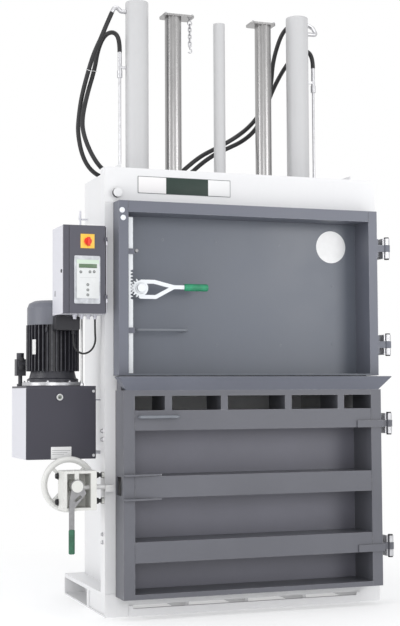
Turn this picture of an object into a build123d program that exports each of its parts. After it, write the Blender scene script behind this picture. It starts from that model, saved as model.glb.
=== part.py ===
from build123d import *
import math
import os

os.makedirs("parts", exist_ok=True)

# A vertical recycling baler. Sizes are in millimetres.
# X runs to the right, Y to the back and Z up. The origin is on the floor, in the middle
# of the machine, in the front plane of the two posts.

# Frame
MACHINE_WIDTH = 1404.0
BASE_DEPTH = 773.0
BASE_HEIGHT = 107.0
FLOOR_PLATE = 12.0
FOOT_WIDTH = 112.0
FOOT_WALL = 8.0
FOOT_FRONT_BAY = 294.0
FOOT_DIVIDER = 34.0
FOOT_BAY_DEPTH = 6.0
FRONT_BEAM_FRONT = -8.0
FRONT_BEAM_PLATE = 20.0
FRONT_SLOT_LOW = 35.0
FRONT_SLOT_HIGH = 51.0
FRONT_SLOT_HALF = 570.0
POST_WIDTH = 62.0
POST_DEPTH = 75.0
POST_WALL = 5.0
CHAMBER_WIDTH = 1200.0
WALL_PLATE = 8.0
WALL_BACK = 725.0
WALL_TOP = 2115.0
BACK_PLATE_FRONT = 700.0
BACK_BEAM_DEPTH = 40.0
BACK_BEAM_HEIGHT = 100.0
BACK_BEAM_PLATE = 6.0
CROSS_BOTTOM = 1918.0
CROSS_TOP = 2085.0
CROSS_WALL = 8.0
DECK_PLATE = 40.0
RUNNING_GAP = 0.1

# Press: two cylinders, two guide tubes, platen
PRESS_Y = 346.0
CYLINDER_X = 438.0
CYLINDER_OUTER = 116.0
CYLINDER_BORE = 96.0
CYLINDER_TOP = 2985.0
CYLINDER_CAP = 20.0
CYLINDER_EDGE = 6.0
CYLINDER_FLANGE = 150.0
GLAND_HEIGHT = 25.0
ROD_DIAMETER = 60.0
PISTON_HEIGHT = 30.0
GUIDE_LEFT_X = -247.0
GUIDE_RIGHT_X = 244.0
GUIDE_OUTER = 84.0
GUIDE_WALL = 6.0
GUIDE_TOP = 2923.0
GUIDE_PLATE = 10.0
GUIDE_PLATE_DEPTH = 100.0
GUIDE_LEFT_PLATE = (-308.0, -146.0)
GUIDE_RIGHT_PLATE = (165.0, 300.0)
BUSH_FLANGE = 124.0
BUSH_HEIGHT = 24.0
CENTRE_TUBE_X = 2.0
CENTRE_TUBE_OUTER = 60.0
CENTRE_TUBE_TOP = 2913.0
CENTRE_TUBE_WALL = 3.0
PLATEN_BOTTOM = 1890.0
PLATEN_PLATE = 25.0
PLATEN_TOP = 2033.0
PLATEN_SIDE_GAP = 8.0
PLATEN_BEAM_DEPTH = 120.0
PLATEN_RIB = 10.0
STRAP_LINES = (-518.0, -300.0, 0.0, 300.0, 518.0)
STRAP_WEB_XS = (-437.0, -162.0, 162.0, 437.0)
STRAP_WEB = 34.0
STRAP_GROOVE = 24.0
STRAP_GROOVE_DEPTH = 7.0

# Chain on the left guide tube's plate
CHAIN_X = -157.0
CHAIN_WIRE = 6.0
CHAIN_LINK = 30.0
CHAIN_WIDTH = 20.0
CHAIN_LINKS = 6
CHAIN_HOLE = 52.0
HOOK_RADIUS = 10.0

# Doors, which share one hinge axis at the right
HINGE_X = 722.0
HINGE_Y = -80.0
PIN_DIAMETER = 16.0
PIN_HEAD = 24.0
PIN_HEAD_HEIGHT = 6.0
KNUCKLE_DIAMETER = 30.0
KNUCKLE_HEIGHT = 32.0
STRAP_EYE = 34.0
STRAP_HEIGHT = 33.0
STRAP_PLATE = 12.0
BRACKET_PLATE = 10.0
HINGE_GAP = 1.0
UPPER_HINGES = (1735.0, 1259.0)
LOWER_HINGES = (873.0, 276.0)
DOOR_PLATE = 8.0
DOOR_GAP = 3.0
PANEL_FRONT = 55.0
UPPER_HALF = 661.5
UPPER_INNER = 616.0
UPPER_BOTTOM = 1108.0
UPPER_TOP = 1916.0
UPPER_FRONT = -97.0
UPPER_RAIL_LOW = 1863.0
LOWER_HALF = 652.0
LOWER_INNER = 598.0
LOWER_BOTTOM = 94.0
LOWER_TOP = 1040.0
LOWER_FRONT = -134.0
LOWER_BEAMS = ((857.0, 948.0), (551.0, 648.0), (258.0, 352.0))
LOWER_RAIL_HIGH = 117.0
SLOT_TOP = 1014.0
LIP_TOP = 1100.0
LIP_FRONT = -185.0
LIP_HALF = 685.0
LIP_FOOT_HALF = 640.0
LIP_PLATE = 5.0
LIP_SIDE_BACK = -105.0

# Pull handles
HANDLE_ROD = 14.0
UPPER_HANDLE = (-560.0, -302.0)
UPPER_HANDLE_Z = 1322.0
UPPER_HANDLE_Y = -22.0
LOWER_HANDLE = (-577.0, -399.0)
LOWER_HANDLE_Z = 919.0
LOWER_HANDLE_Y = -174.0

# Latch of the upper door: a toothed lever that drives a toothed bar
LATCH_BAR_LEFT = -603.0
LATCH_BAR_WIDTH = 21.0
LATCH_BAR_FRONT = -56.0
LATCH_BAR_PLATE = 12.0
LATCH_BAR_BOTTOM = 1119.0
LATCH_BAR_TOP = 1844.0
LATCH_TOOTH_MODULE = 5.0
LATCH_TEETH_ROUND = 17
LATCH_Z = 1514.0
LATCH_CLIPS = (1684.0, 1317.0)
LATCH_SLOT_GAP = 2.0
CLIP_GAP = 0.5
CLIP_WALL = 6.0
CLIP_HEIGHT = 26.0
KEEPER_PLATE_TOP = 1092.0
KEEPER_PLATE_SIDE = 34.0
LEVER_PLATE = 12.0
LEVER_ARM = 18.0
LEVER_HUB = 52.0
LEVER_BOLT = 24.0
LEVER_SHANK_RISE = 8.0
GRIP_DIAMETER = 34.0
GRIP_START = -330.0
GRIP_END = -211.0
GRIP_STOP = 20.0

# Door lock on the left post
LOCK_REACH = 205.0
LOCK_X = -LOWER_HALF - LOCK_REACH
LOCK_Z = 609.0
WHEEL_OUTER = 258.0
WHEEL_RIM = 29.0
WHEEL_Y = 70.0
WHEEL_SHAFT = 24.0
WHEEL_SPOKES = 4
WHEEL_SPOKE = 16.0
WHEEL_HUB = 50.0
CAGE_LEFT = LOCK_X - 60.0
CAGE_RIGHT = LOCK_X + 93.0
CAGE_LOW = 500.0
CAGE_HIGH = 678.0
CAGE_FRONT = -85.0
CAGE_BACK = 25.0
CAGE_PLATE = 12.0
CAGE_CHEEK_LEFT = 16.0
CAGE_CHEEK_RIGHT = 28.0
CAGE_CHEEK_BACK = 40.0
HOUSING_DIAMETER = 56.0
HOUSING_FRONT = -78.0
STUD_DIAMETER = 18.0
STUD_Y = 22.0
STUD_Z = 592.0
STUD_OFFSET = 59.0
BOLT_BAR = 22.0
BOLT_Y = -50.0
BOLT_Z = 602.0
BOLT_BLOCK = (42.0, 32.0, 30.0)
BOLT_BLOCK_END = LOCK_X + 181.0
BOLT_BLOCK_DROP = 7.0
KEEPER_CUT_LOW = 561.0
KEEPER_CUT_HIGH = 645.0
KEEPER_CUT_FRONT = -100.0
KEEPER_CUT_BACK = -18.0
KEEPER_GUSSETS = (545.0, 655.0)
KEEPER_GUSSET_OUT = 24.0
KEEPER_GUSSET_END = -470.0
RELEASE_PLATE = 8.0
RELEASE_PIVOT = 16.0
RELEASE_HUB = 62.0
RELEASE_CAP = 54.0
RELEASE_SLOT = 12.0
RELEASE_WIDTH = 24.0
RELEASE_GRIP = 28.0
RELEASE_GRIP_TOP = 417.0
RELEASE_GRIP_END = 308.0
RELEASE_X = LOCK_X - 25.0

# Power unit
TANK_LEFT = -1047.0
TANK_RIGHT = -715.0
TANK_FRONT = 111.0
TANK_BACK = 432.0
TANK_BOTTOM = 722.0
TANK_TOP = 1053.0
TANK_SHEET = 3.0
TANK_COVER = 4.0
TANK_LID = 9.0
SIGHT_X = -889.0
SIGHT_Z = 1010.0
SIGHT_DIAMETER = 32.0
MOTOR_X = -881.0
MOTOR_Y = 286.0
RING_DIAMETER = 290.0
RING_HEIGHT = 19.0
MOTOR_CORE = 200.0
MOTOR_FINS = 252.0
FIN_COUNT = 36
FIN_THICKNESS = 5.0
FIN_LOW = 1133.0
FIN_HIGH = 1352.0
COWL_DIAMETER = 244.0
COWL_TOP = 1468.0
COWL_SHEET = 3.0
COWL_SLOTS = 14
FAN_DIAMETER = 190.0
FAN_BLADES = 7
FAN_LOW = 1384.0
FAN_HIGH = 1430.0
MOTOR_SHAFT = 38.0
TERMINAL_LEFT = -915.0
TERMINAL_RIGHT = -800.0
TERMINAL_FRONT = 78.0
TERMINAL_BACK = 139.0
TERMINAL_LOW = 1322.0
TERMINAL_HIGH = 1386.0
VALVE_X = -1014.0
VALVE_Y = 400.0
VALVE_LOW = 1113.0
VALVE_HIGH = 1223.0
VALVE_WIDTH = 46.0

# Control cabinet
CABINET_LEFT = -912.0
CABINET_RIGHT = -705.0
CABINET_FRONT = -44.0
CABINET_BACK = 160.0
CABINET_LOW = 1392.0
CABINET_HIGH = 1798.0
CABINET_SHEET = 3.0
CABINET_STRIP = 26.0
CABINET_DOOR_DEPTH = 10.0
CABINET_DOOR_GAP = 2.0
CABINET_HINGE_RADIUS = 4.0
SWITCH_X = -799.0
SWITCH_Z = 1724.0
SWITCH_BASE = 34.0
SWITCH_DEPTH = 30.0
KEYPAD = (-862.0, -740.0, 1437.0, 1657.0)
KEYPAD_DEPTH = 5.0
KEYPAD_MARGIN = 10.0
GLAND_XS = (-830.0, -797.0, -765.0, -733.0)
GLAND_Y = 60.0
GLAND_DIAMETER = 22.0
GLAND_LENGTH = 20.0
CONDUIT_DIAMETER = 9.0

# Hydraulic hoses, pipes and the motor cable
HOSE_DIAMETER = 22.5
CABLE_DIAMETER = 9.0
PIPE_DIAMETER = 14.0
PIPE_X = 528.0
PIPE_TOP = 2725.0
PIPE_FITTING = 26.0
PIPE_FITTING_LENGTH = 129.0
MANIFOLD_LEFT = -430.0
MANIFOLD_RIGHT = -290.0
MANIFOLD_FRONT = 440.0
MANIFOLD_BACK = 590.0
MANIFOLD_HEIGHT = 56.0
PORT_DIAMETER = 26.0
PORT_LENGTH = 24.0
PORT_RISE = 30.0
BEND_SHARE = 0.45

# Sizes that follow from those above
half_width = MACHINE_WIDTH / 2
half_chamber = CHAMBER_WIDTH / 2
post_inner = half_width - POST_WIDTH
foot_inner = half_width - FOOT_WIDTH
jamb_front = POST_DEPTH - WALL_PLATE
floor_top = BASE_HEIGHT
back_plate_back = BACK_PLATE_FRONT + WALL_PLATE
panel_back = PANEL_FRONT + DOOR_PLATE
deck_bottom = CROSS_TOP - DECK_PLATE
pitch_radius = LATCH_TOOTH_MODULE * LATCH_TEETH_ROUND / 2
rack_line = LATCH_BAR_LEFT + LATCH_BAR_WIDTH - LATCH_TOOTH_MODULE
lever_x = rack_line + pitch_radius


def block(x0, x1, y0, y1, z0, z1):
    """A straight block between two corners."""
    place = Pos((x0 + x1) / 2, (y0 + y1) / 2, (z0 + z1) / 2)
    return place * Box(abs(x1 - x0), abs(y1 - y0), abs(z1 - z0))


def rod_x(x0, x1, y, z, diameter):
    place = Pos((x0 + x1) / 2, y, z) * Rot(0, 90, 0)
    return place * Cylinder(diameter / 2, abs(x1 - x0))


def rod_y(x, y0, y1, z, diameter):
    place = Pos(x, (y0 + y1) / 2, z) * Rot(90, 0, 0)
    return place * Cylinder(diameter / 2, abs(y1 - y0))


def rod_z(x, y, z0, z1, diameter):
    return Pos(x, y, (z0 + z1) / 2) * Cylinder(diameter / 2, abs(z1 - z0))


def outline_y(points, y0, y1):
    """A plate whose outline lies in X and Z, from y0 back to y1."""
    wire = Polyline(*[(x, y0, z) for x, z in points], close=True)
    return extrude(make_face(wire), amount=y1 - y0, dir=(0, 1, 0))


def outline_z(points, z0, z1):
    """A plate whose outline lies in X and Y, from z0 up to z1."""
    wire = Polyline(*[(x, y, z0) for x, y in points], close=True)
    return extrude(make_face(wire), amount=z1 - z0, dir=(0, 0, 1))


def outline_x(points, x0, x1):
    """A plate whose outline lies in Y and Z, from x0 across to x1."""
    wire = Polyline(*[(x0, y, z) for y, z in points], close=True)
    return extrude(make_face(wire), amount=x1 - x0, dir=(1, 0, 0))


def turned(profile, x, y):
    """A body of revolution about a vertical axis, from (radius, height) points."""
    wire = Polyline(*[(radius, 0, height) for radius, height in profile], close=True)
    return Pos(x, y, 0) * revolve(make_face(wire), Axis.Z)


def bend_radii(points):
    """The largest arc that each corner of a route has room for."""
    radii = []
    for before, corner, after in zip(points, points[1:], points[2:]):
        run_in = Vector(*corner) - Vector(*before)
        run_out = Vector(*after) - Vector(*corner)
        shorter = min(run_in.length, run_out.length)
        half_turn = math.radians(run_in.get_angle(run_out)) / 2
        radii.append(BEND_SHARE * shorter / math.tan(half_turn))
    return radii


def tube_along(points, diameter, radii=None):
    """A round solid along straight runs that tangent arcs join."""
    radii = radii or bend_radii(points)
    path = FilletPolyline(*points, radius=radii)
    start = Vector(*points[0])
    toward = Vector(*points[1]) - start
    section = Plane(origin=start, z_dir=toward) * Circle(diameter / 2)
    return sweep(section, path=path), path.length


def save(node, shape):
    export_step(shape, "parts/" + node + ".step")


def group(pieces):
    """Separate solids that one node holds."""
    solids = []
    for piece in pieces:
        solids.extend(piece.solids())
    return Compound(children=solids)


def foot(side):
    """One side member of the base: a closed front bay, a divider and an open pocket."""
    outer = side * half_width
    inner = side * foot_inner
    top = BASE_HEIGHT - FLOOR_PLATE
    member = block(inner, outer, 0, BASE_DEPTH, 0, top)
    pocket_start = FOOT_FRONT_BAY + FOOT_DIVIDER
    pocket = block(
        inner + side * FOOT_WALL, outer + side, pocket_start, BASE_DEPTH - FOOT_WALL,
        FOOT_WALL, top - FOOT_WALL,
    )
    bay = block(
        outer - side * FOOT_BAY_DEPTH, outer + side, FOOT_WALL, FOOT_FRONT_BAY,
        FOOT_WALL, top - FOOT_WALL,
    )
    hollow = block(
        inner + side * FOOT_WALL, outer - side * (FOOT_BAY_DEPTH + FOOT_WALL),
        FOOT_WALL, FOOT_FRONT_BAY, -1, top - FOOT_WALL,
    )
    return member - pocket - bay - hollow


def make_base():
    floor = block(-half_width, half_width, 0, BASE_DEPTH, BASE_HEIGHT - FLOOR_PLATE, BASE_HEIGHT)
    for x in STRAP_LINES:
        floor -= block(
            x - STRAP_GROOVE / 2, x + STRAP_GROOVE / 2, -1, BASE_DEPTH + 1,
            BASE_HEIGHT - STRAP_GROOVE_DEPTH, BASE_HEIGHT + 1,
        )
    rib_front = FRONT_BEAM_FRONT + FRONT_BEAM_PLATE
    for x in STRAP_LINES[1:4]:
        floor += block(
            x - FOOT_WALL, x + FOOT_WALL, rib_front, BASE_DEPTH, 0, BASE_HEIGHT - FLOOR_PLATE,
        )
    save("base_floor_plate", floor)
    save("base_feet", group([foot(-1), foot(1)]))
    beam = block(
        -foot_inner, foot_inner, FRONT_BEAM_FRONT, rib_front, 0, BASE_HEIGHT - FLOOR_PLATE,
    )
    beam -= block(
        -FRONT_SLOT_HALF, FRONT_SLOT_HALF, FRONT_BEAM_FRONT - 1, rib_front + 1,
        FRONT_SLOT_LOW, FRONT_SLOT_HIGH,
    )
    beam -= block(
        -foot_inner - 1, foot_inner + 1, FRONT_BEAM_FRONT - 1, 0, FRONT_SLOT_HIGH, BASE_HEIGHT,
    )
    save("base_front_beam", beam)


def make_frame():
    for side, name in ((-1, "left"), (1, "right")):
        outer = side * half_width
        inner = side * post_inner
        post = block(outer, inner, 0, POST_DEPTH, BASE_HEIGHT, CROSS_BOTTOM)
        post -= block(
            outer - side * POST_WALL, inner + side * POST_WALL, POST_WALL,
            POST_DEPTH - POST_WALL, BASE_HEIGHT - 1, CROSS_BOTTOM + 1,
        )
        save("post_" + name, post)
        wall = block(
            side * half_chamber, side * (half_chamber + WALL_PLATE), jamb_front, WALL_BACK,
            BASE_HEIGHT, WALL_TOP,
        )
        wall -= block(
            side * (half_chamber - 1), side * (half_chamber + WALL_PLATE + 1), 0, POST_DEPTH,
            CROSS_BOTTOM, WALL_TOP + 1,
        )
        wall += block(
            side * (half_chamber + WALL_PLATE), inner, jamb_front, POST_DEPTH,
            BASE_HEIGHT, CROSS_BOTTOM,
        )
        save("side_wall_" + name, wall)

    back = block(
        -half_chamber, half_chamber, BACK_PLATE_FRONT, back_plate_back, BASE_HEIGHT, CROSS_TOP,
    )
    beam_back = back_plate_back + BACK_BEAM_DEPTH
    lows = [low for low, high in LOWER_BEAMS] + [UPPER_HINGES[1], CROSS_TOP - BACK_BEAM_HEIGHT]
    for low in lows:
        beam = block(
            -half_chamber, half_chamber, back_plate_back, beam_back, low, low + BACK_BEAM_HEIGHT,
        )
        beam -= block(
            -half_chamber - 1, half_chamber + 1, back_plate_back, beam_back - BACK_BEAM_PLATE,
            low + BACK_BEAM_PLATE, low + BACK_BEAM_HEIGHT - BACK_BEAM_PLATE,
        )
        back += beam
    save("back_wall", back)

    front = block(-half_width, half_width, 0, POST_DEPTH, CROSS_BOTTOM, CROSS_TOP)
    front -= block(
        -half_width + CROSS_WALL, half_width - CROSS_WALL, CROSS_WALL, POST_DEPTH - CROSS_WALL,
        CROSS_BOTTOM + CROSS_WALL, CROSS_TOP - CROSS_WALL,
    )
    front += rod_y(-644.0, -26.0, 0, 1963.0, 42.0)
    save("crosshead_front_beam", front)

    deck = block(
        -half_chamber, half_chamber, POST_DEPTH, BACK_PLATE_FRONT, deck_bottom, CROSS_TOP,
    )
    for side in (-1, 1):
        x = side * CYLINDER_X
        deck -= rod_z(x, PRESS_Y, deck_bottom - 1, CROSS_TOP + 1, ROD_DIAMETER + 4)
    for x in (GUIDE_LEFT_X, GUIDE_RIGHT_X):
        deck += rod_z(x, PRESS_Y, CROSS_TOP, CROSS_TOP + BUSH_HEIGHT, BUSH_FLANGE)
        bore = GUIDE_OUTER + 2 * RUNNING_GAP
        deck -= rod_z(x, PRESS_Y, deck_bottom - 1, CROSS_TOP + BUSH_HEIGHT + 1, bore)
    deck -= rod_z(CHAIN_X, PRESS_Y, deck_bottom - 1, CROSS_TOP + 1, CHAIN_HOLE)
    save("deck_plate", deck)


def make_press():
    for side, name in ((-1, "left"), (1, "right")):
        x = side * CYLINDER_X
        tube = rod_z(x, PRESS_Y, CROSS_TOP, CYLINDER_TOP, CYLINDER_OUTER)
        top_edge = tube.edges().filter_by(GeomType.CIRCLE).sort_by(Axis.Z)[-1]
        tube = fillet(top_edge, CYLINDER_EDGE)
        tube += rod_z(x, PRESS_Y, CROSS_TOP, CROSS_TOP + 20, CYLINDER_FLANGE)
        tube -= rod_z(
            x, PRESS_Y, CROSS_TOP + GLAND_HEIGHT, CYLINDER_TOP - CYLINDER_CAP, CYLINDER_BORE,
        )
        tube -= rod_z(
            x, PRESS_Y, CROSS_TOP - 1, CYLINDER_TOP - CYLINDER_CAP,
            ROD_DIAMETER + 2 * RUNNING_GAP,
        )
        save("cylinder_" + name, tube)

    centre = rod_z(CENTRE_TUBE_X, PRESS_Y, CROSS_TOP, CENTRE_TUBE_TOP, CENTRE_TUBE_OUTER)
    centre -= rod_z(
        CENTRE_TUBE_X, PRESS_Y, CROSS_TOP - 1, CENTRE_TUBE_TOP - CENTRE_TUBE_WALL,
        CENTRE_TUBE_OUTER - 2 * CENTRE_TUBE_WALL,
    )
    centre += rod_z(
        CENTRE_TUBE_X, PRESS_Y, CROSS_TOP, CROSS_TOP + 8, CENTRE_TUBE_OUTER + 40,
    ) - rod_z(CENTRE_TUBE_X, PRESS_Y, CROSS_TOP - 1, CROSS_TOP + 9, CENTRE_TUBE_OUTER - 1)
    save("centre_tube", centre)

    rods = []
    piston_top = CYLINDER_TOP - CYLINDER_CAP - 1
    for side in (-1, 1):
        x = side * CYLINDER_X
        rod = rod_z(x, PRESS_Y, PLATEN_TOP, piston_top, ROD_DIAMETER)
        rod += rod_z(
            x, PRESS_Y, piston_top - PISTON_HEIGHT, piston_top, CYLINDER_BORE - 2 * RUNNING_GAP,
        )
        rods.append(rod)
    save("piston_rods", group(rods))

    tubes = []
    for x, plate in ((GUIDE_LEFT_X, GUIDE_LEFT_PLATE), (GUIDE_RIGHT_X, GUIDE_RIGHT_PLATE)):
        tube = rod_z(x, PRESS_Y, PLATEN_TOP, GUIDE_TOP, GUIDE_OUTER)
        tube -= rod_z(
            x, PRESS_Y, PLATEN_TOP - 1, GUIDE_TOP + 1, GUIDE_OUTER - 2 * GUIDE_WALL,
        )
        cap = block(
            plate[0], plate[1], PRESS_Y - GUIDE_PLATE_DEPTH / 2, PRESS_Y + GUIDE_PLATE_DEPTH / 2,
            GUIDE_TOP, GUIDE_TOP + GUIDE_PLATE,
        )
        cap = fillet(cap.edges().filter_by(Axis.Z), 18)
        tubes.append(tube + cap)
    save("guide_tubes", group(tubes))

    platen_x = half_chamber - PLATEN_SIDE_GAP
    platen_front = POST_DEPTH + PLATEN_SIDE_GAP
    platen_back = BACK_PLATE_FRONT - PLATEN_SIDE_GAP
    platen = block(
        -platen_x, platen_x, platen_front, platen_back, PLATEN_BOTTOM,
        PLATEN_BOTTOM + PLATEN_PLATE,
    )
    for x in STRAP_LINES:
        platen -= block(
            x - STRAP_GROOVE / 2, x + STRAP_GROOVE / 2, platen_front - 1, platen_back + 1,
            PLATEN_BOTTOM - 1, PLATEN_BOTTOM + STRAP_GROOVE_DEPTH,
        )
    beam_front = PRESS_Y - PLATEN_BEAM_DEPTH / 2
    beam_back = PRESS_Y + PLATEN_BEAM_DEPTH / 2
    top = PLATEN_TOP
    low = PLATEN_BOTTOM + PLATEN_PLATE
    beam = block(-platen_x + 30, platen_x - 30, beam_front, beam_back, low, top)
    beam -= block(
        -platen_x + 29, platen_x - 29, beam_front + PLATEN_RIB, beam_back - PLATEN_RIB,
        low, top - PLATEN_RIB,
    )
    platen += beam
    for x in (-platen_x + 60, -300, -100, 100, 300, platen_x - 60):
        front_rib = [
            (platen_front + 20, low), (beam_front, low), (beam_front, top - 20),
            (platen_front + 20, low + 30),
        ]
        rear_rib = [
            (beam_back, low), (platen_back - 20, low), (platen_back - 20, low + 30),
            (beam_back, top - 20),
        ]
        platen += outline_x(front_rib, x - PLATEN_RIB / 2, x + PLATEN_RIB / 2)
        platen += outline_x(rear_rib, x - PLATEN_RIB / 2, x + PLATEN_RIB / 2)
    save("platen", platen)


def chain_link(x, y, z_top, along_x):
    """One oval link that hangs in the X or the Y plane."""
    across = (CHAIN_WIDTH - CHAIN_WIRE) / 2
    reach = (CHAIN_LINK - CHAIN_WIRE) / 2
    straight = reach - across
    with BuildLine() as oval:
        Line((across, 0, -straight), (across, 0, straight))
        ThreePointArc((across, 0, straight), (0, 0, reach), (-across, 0, straight))
        Line((-across, 0, straight), (-across, 0, -straight))
        ThreePointArc((-across, 0, -straight), (0, 0, -reach), (across, 0, -straight))
    section = Plane(origin=(across, 0, 0), z_dir=(0, 0, 1)) * Circle(CHAIN_WIRE / 2)
    link = sweep(section, path=oval.wire())
    turn = 0 if along_x else 90
    return Pos(x, y, z_top - CHAIN_LINK / 2) * Rot(0, 0, turn) * link


def make_chain():
    """A shackle under the guide tube's plate, then the links and an open hook."""
    pitch = CHAIN_LINK - 2 * CHAIN_WIRE - 0.2
    eye_top = GUIDE_TOP - 0.1
    eye_wire = CHAIN_WIRE / 2
    eye = rod_z(CHAIN_X, PRESS_Y, eye_top - 8, eye_top, 12)
    ring = Pos(CHAIN_X, PRESS_Y, eye_top - 18) * Rot(90, 0, 0) * Torus(11, eye_wire)
    pieces = [eye + ring]
    first_top = eye_top - 18 - 11 + eye_wire + CHAIN_WIRE + 0.2
    for number in range(CHAIN_LINKS):
        z_top = first_top - number * pitch
        pieces.append(chain_link(CHAIN_X, PRESS_Y, z_top, number % 2 == 1))
    z_hook = first_top - CHAIN_LINKS * pitch
    hook_eye = Pos(CHAIN_X, PRESS_Y, z_hook - 9) * Rot(90, 0, 0) * Torus(6.2, eye_wire)
    centre_z = z_hook - 24 - HOOK_RADIUS
    start = (CHAIN_X, PRESS_Y, centre_z + HOOK_RADIUS)
    bend = ThreePointArc(
        start, (CHAIN_X + HOOK_RADIUS, PRESS_Y, centre_z),
        (CHAIN_X - HOOK_RADIUS * 0.8, PRESS_Y, centre_z - HOOK_RADIUS * 0.6),
    )
    section = Plane(origin=start, z_dir=(1, 0, 0)) * Circle(3.6)
    hook = hook_eye + rod_z(CHAIN_X, PRESS_Y, centre_z + HOOK_RADIUS - 3, z_hook - 14, 7.2)
    hook += sweep(section, path=bend)
    pieces.append(hook)
    save("chain", group(pieces))


def hinge_strap(z, half, front):
    """A door's hinge arm, with its eye on the hinge axis."""
    low = z - STRAP_HEIGHT / 2
    high = z + STRAP_HEIGHT / 2
    pad_front = max(front, HINGE_Y - 14)
    arm = block(
        half, HINGE_X, HINGE_Y - STRAP_PLATE / 2, HINGE_Y + STRAP_PLATE / 2, low, high,
    )
    arm += block(half, half + 8, pad_front, HINGE_Y + 30, z - 45, z + 45)
    arm += rod_z(HINGE_X, HINGE_Y, low, high, STRAP_EYE)
    bore = PIN_DIAMETER + 2 * RUNNING_GAP
    return arm - rod_z(HINGE_X, HINGE_Y, low - 1, high + 1, bore)


def make_hinges():
    brackets = []
    pins = []
    knuckle_low = STRAP_HEIGHT / 2 + HINGE_GAP
    knuckle_high = knuckle_low + KNUCKLE_HEIGHT
    for z in UPPER_HINGES + LOWER_HINGES:
        plate = block(
            half_width, half_width + BRACKET_PLATE, HINGE_Y, POST_DEPTH - 15,
            z - knuckle_high, z + knuckle_high,
        )
        plate -= block(
            half_width - 1, half_width + BRACKET_PLATE + 1, HINGE_Y - 1,
            HINGE_Y + STRAP_EYE / 2 + 5, z - knuckle_low, z + knuckle_low,
        )
        for side in (-1, 1):
            plate += rod_z(
                HINGE_X, HINGE_Y, z + side * knuckle_low, z + side * knuckle_high,
                KNUCKLE_DIAMETER,
            )
        plate -= rod_z(
            HINGE_X, HINGE_Y, z - knuckle_high - 1, z + knuckle_high + 1, PIN_DIAMETER + 0.04,
        )
        brackets.append(plate)
        pin = rod_z(HINGE_X, HINGE_Y, z - knuckle_high, z + knuckle_high, PIN_DIAMETER)
        for side in (-1, 1):
            pin += rod_z(
                HINGE_X, HINGE_Y, z + side * knuckle_high,
                z + side * (knuckle_high + PIN_HEAD_HEIGHT), PIN_HEAD,
            )
        pins.append(pin)
    save("hinge_brackets", group(brackets))
    save("hinge_pins", group(pins))


def stile(side, half, inner, front, low, high):
    """A folded door stile: front plate, outer side and inner wall down to the panel."""
    points = [
        (side * half, front), (side * inner, front), (side * inner, panel_back),
        (side * (inner + DOOR_PLATE), panel_back), (side * (inner + DOOR_PLATE), front + DOOR_PLATE),
        (side * (half - DOOR_PLATE), front + DOOR_PLATE), (side * (half - DOOR_PLATE), -DOOR_GAP),
        (side * half, -DOOR_GAP),
    ]
    return outline_z(points, low, high)


def latch_slot(low, high):
    """The room that the latch bar passes through in a plate."""
    gap = LATCH_SLOT_GAP
    return block(
        LATCH_BAR_LEFT - gap, LATCH_BAR_LEFT + LATCH_BAR_WIDTH + gap, LATCH_BAR_FRONT - gap,
        LATCH_BAR_FRONT + LATCH_BAR_PLATE + gap, low, high,
    )


def make_upper_door():
    stiles = []
    for side in (-1, 1):
        piece = stile(side, UPPER_HALF, UPPER_INNER, UPPER_FRONT, UPPER_BOTTOM, UPPER_TOP)
        if side > 0:
            for z in UPPER_HINGES:
                piece += hinge_strap(z, UPPER_HALF, UPPER_FRONT)
        stiles.append(piece)

    panel = block(
        -UPPER_INNER, UPPER_INNER, PANEL_FRONT, panel_back, UPPER_BOTTOM + DOOR_PLATE,
        UPPER_RAIL_LOW,
    )
    bottom = block(
        -UPPER_INNER, UPPER_INNER, UPPER_FRONT, panel_back, UPPER_BOTTOM,
        UPPER_BOTTOM + DOOR_PLATE,
    )
    bottom -= latch_slot(UPPER_BOTTOM - 1, UPPER_BOTTOM + DOOR_PLATE + 1)
    save("upper_door_panel", panel + bottom)

    rail_floor = UPPER_RAIL_LOW + DOOR_PLATE
    rail = [
        (UPPER_FRONT, UPPER_RAIL_LOW), (panel_back, UPPER_RAIL_LOW), (panel_back, rail_floor),
        (UPPER_FRONT + DOOR_PLATE, rail_floor),
        (UPPER_FRONT + DOOR_PLATE, UPPER_TOP - DOOR_PLATE), (-DOOR_GAP, UPPER_TOP - DOOR_PLATE),
        (-DOOR_GAP, UPPER_TOP), (UPPER_FRONT, UPPER_TOP),
    ]
    top_rail = outline_x(rail, -UPPER_INNER, UPPER_INNER)
    save("upper_door_frame", group(stiles + [top_rail]))

    left, right = UPPER_HANDLE
    route = [
        (left, PANEL_FRONT, UPPER_HANDLE_Z), (left, UPPER_HANDLE_Y, UPPER_HANDLE_Z),
        (right, UPPER_HANDLE_Y, UPPER_HANDLE_Z), (right, PANEL_FRONT, UPPER_HANDLE_Z),
    ]
    handle, length = tube_along(route, HANDLE_ROD, [20, 20])
    save("upper_door_handle", handle)


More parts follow.
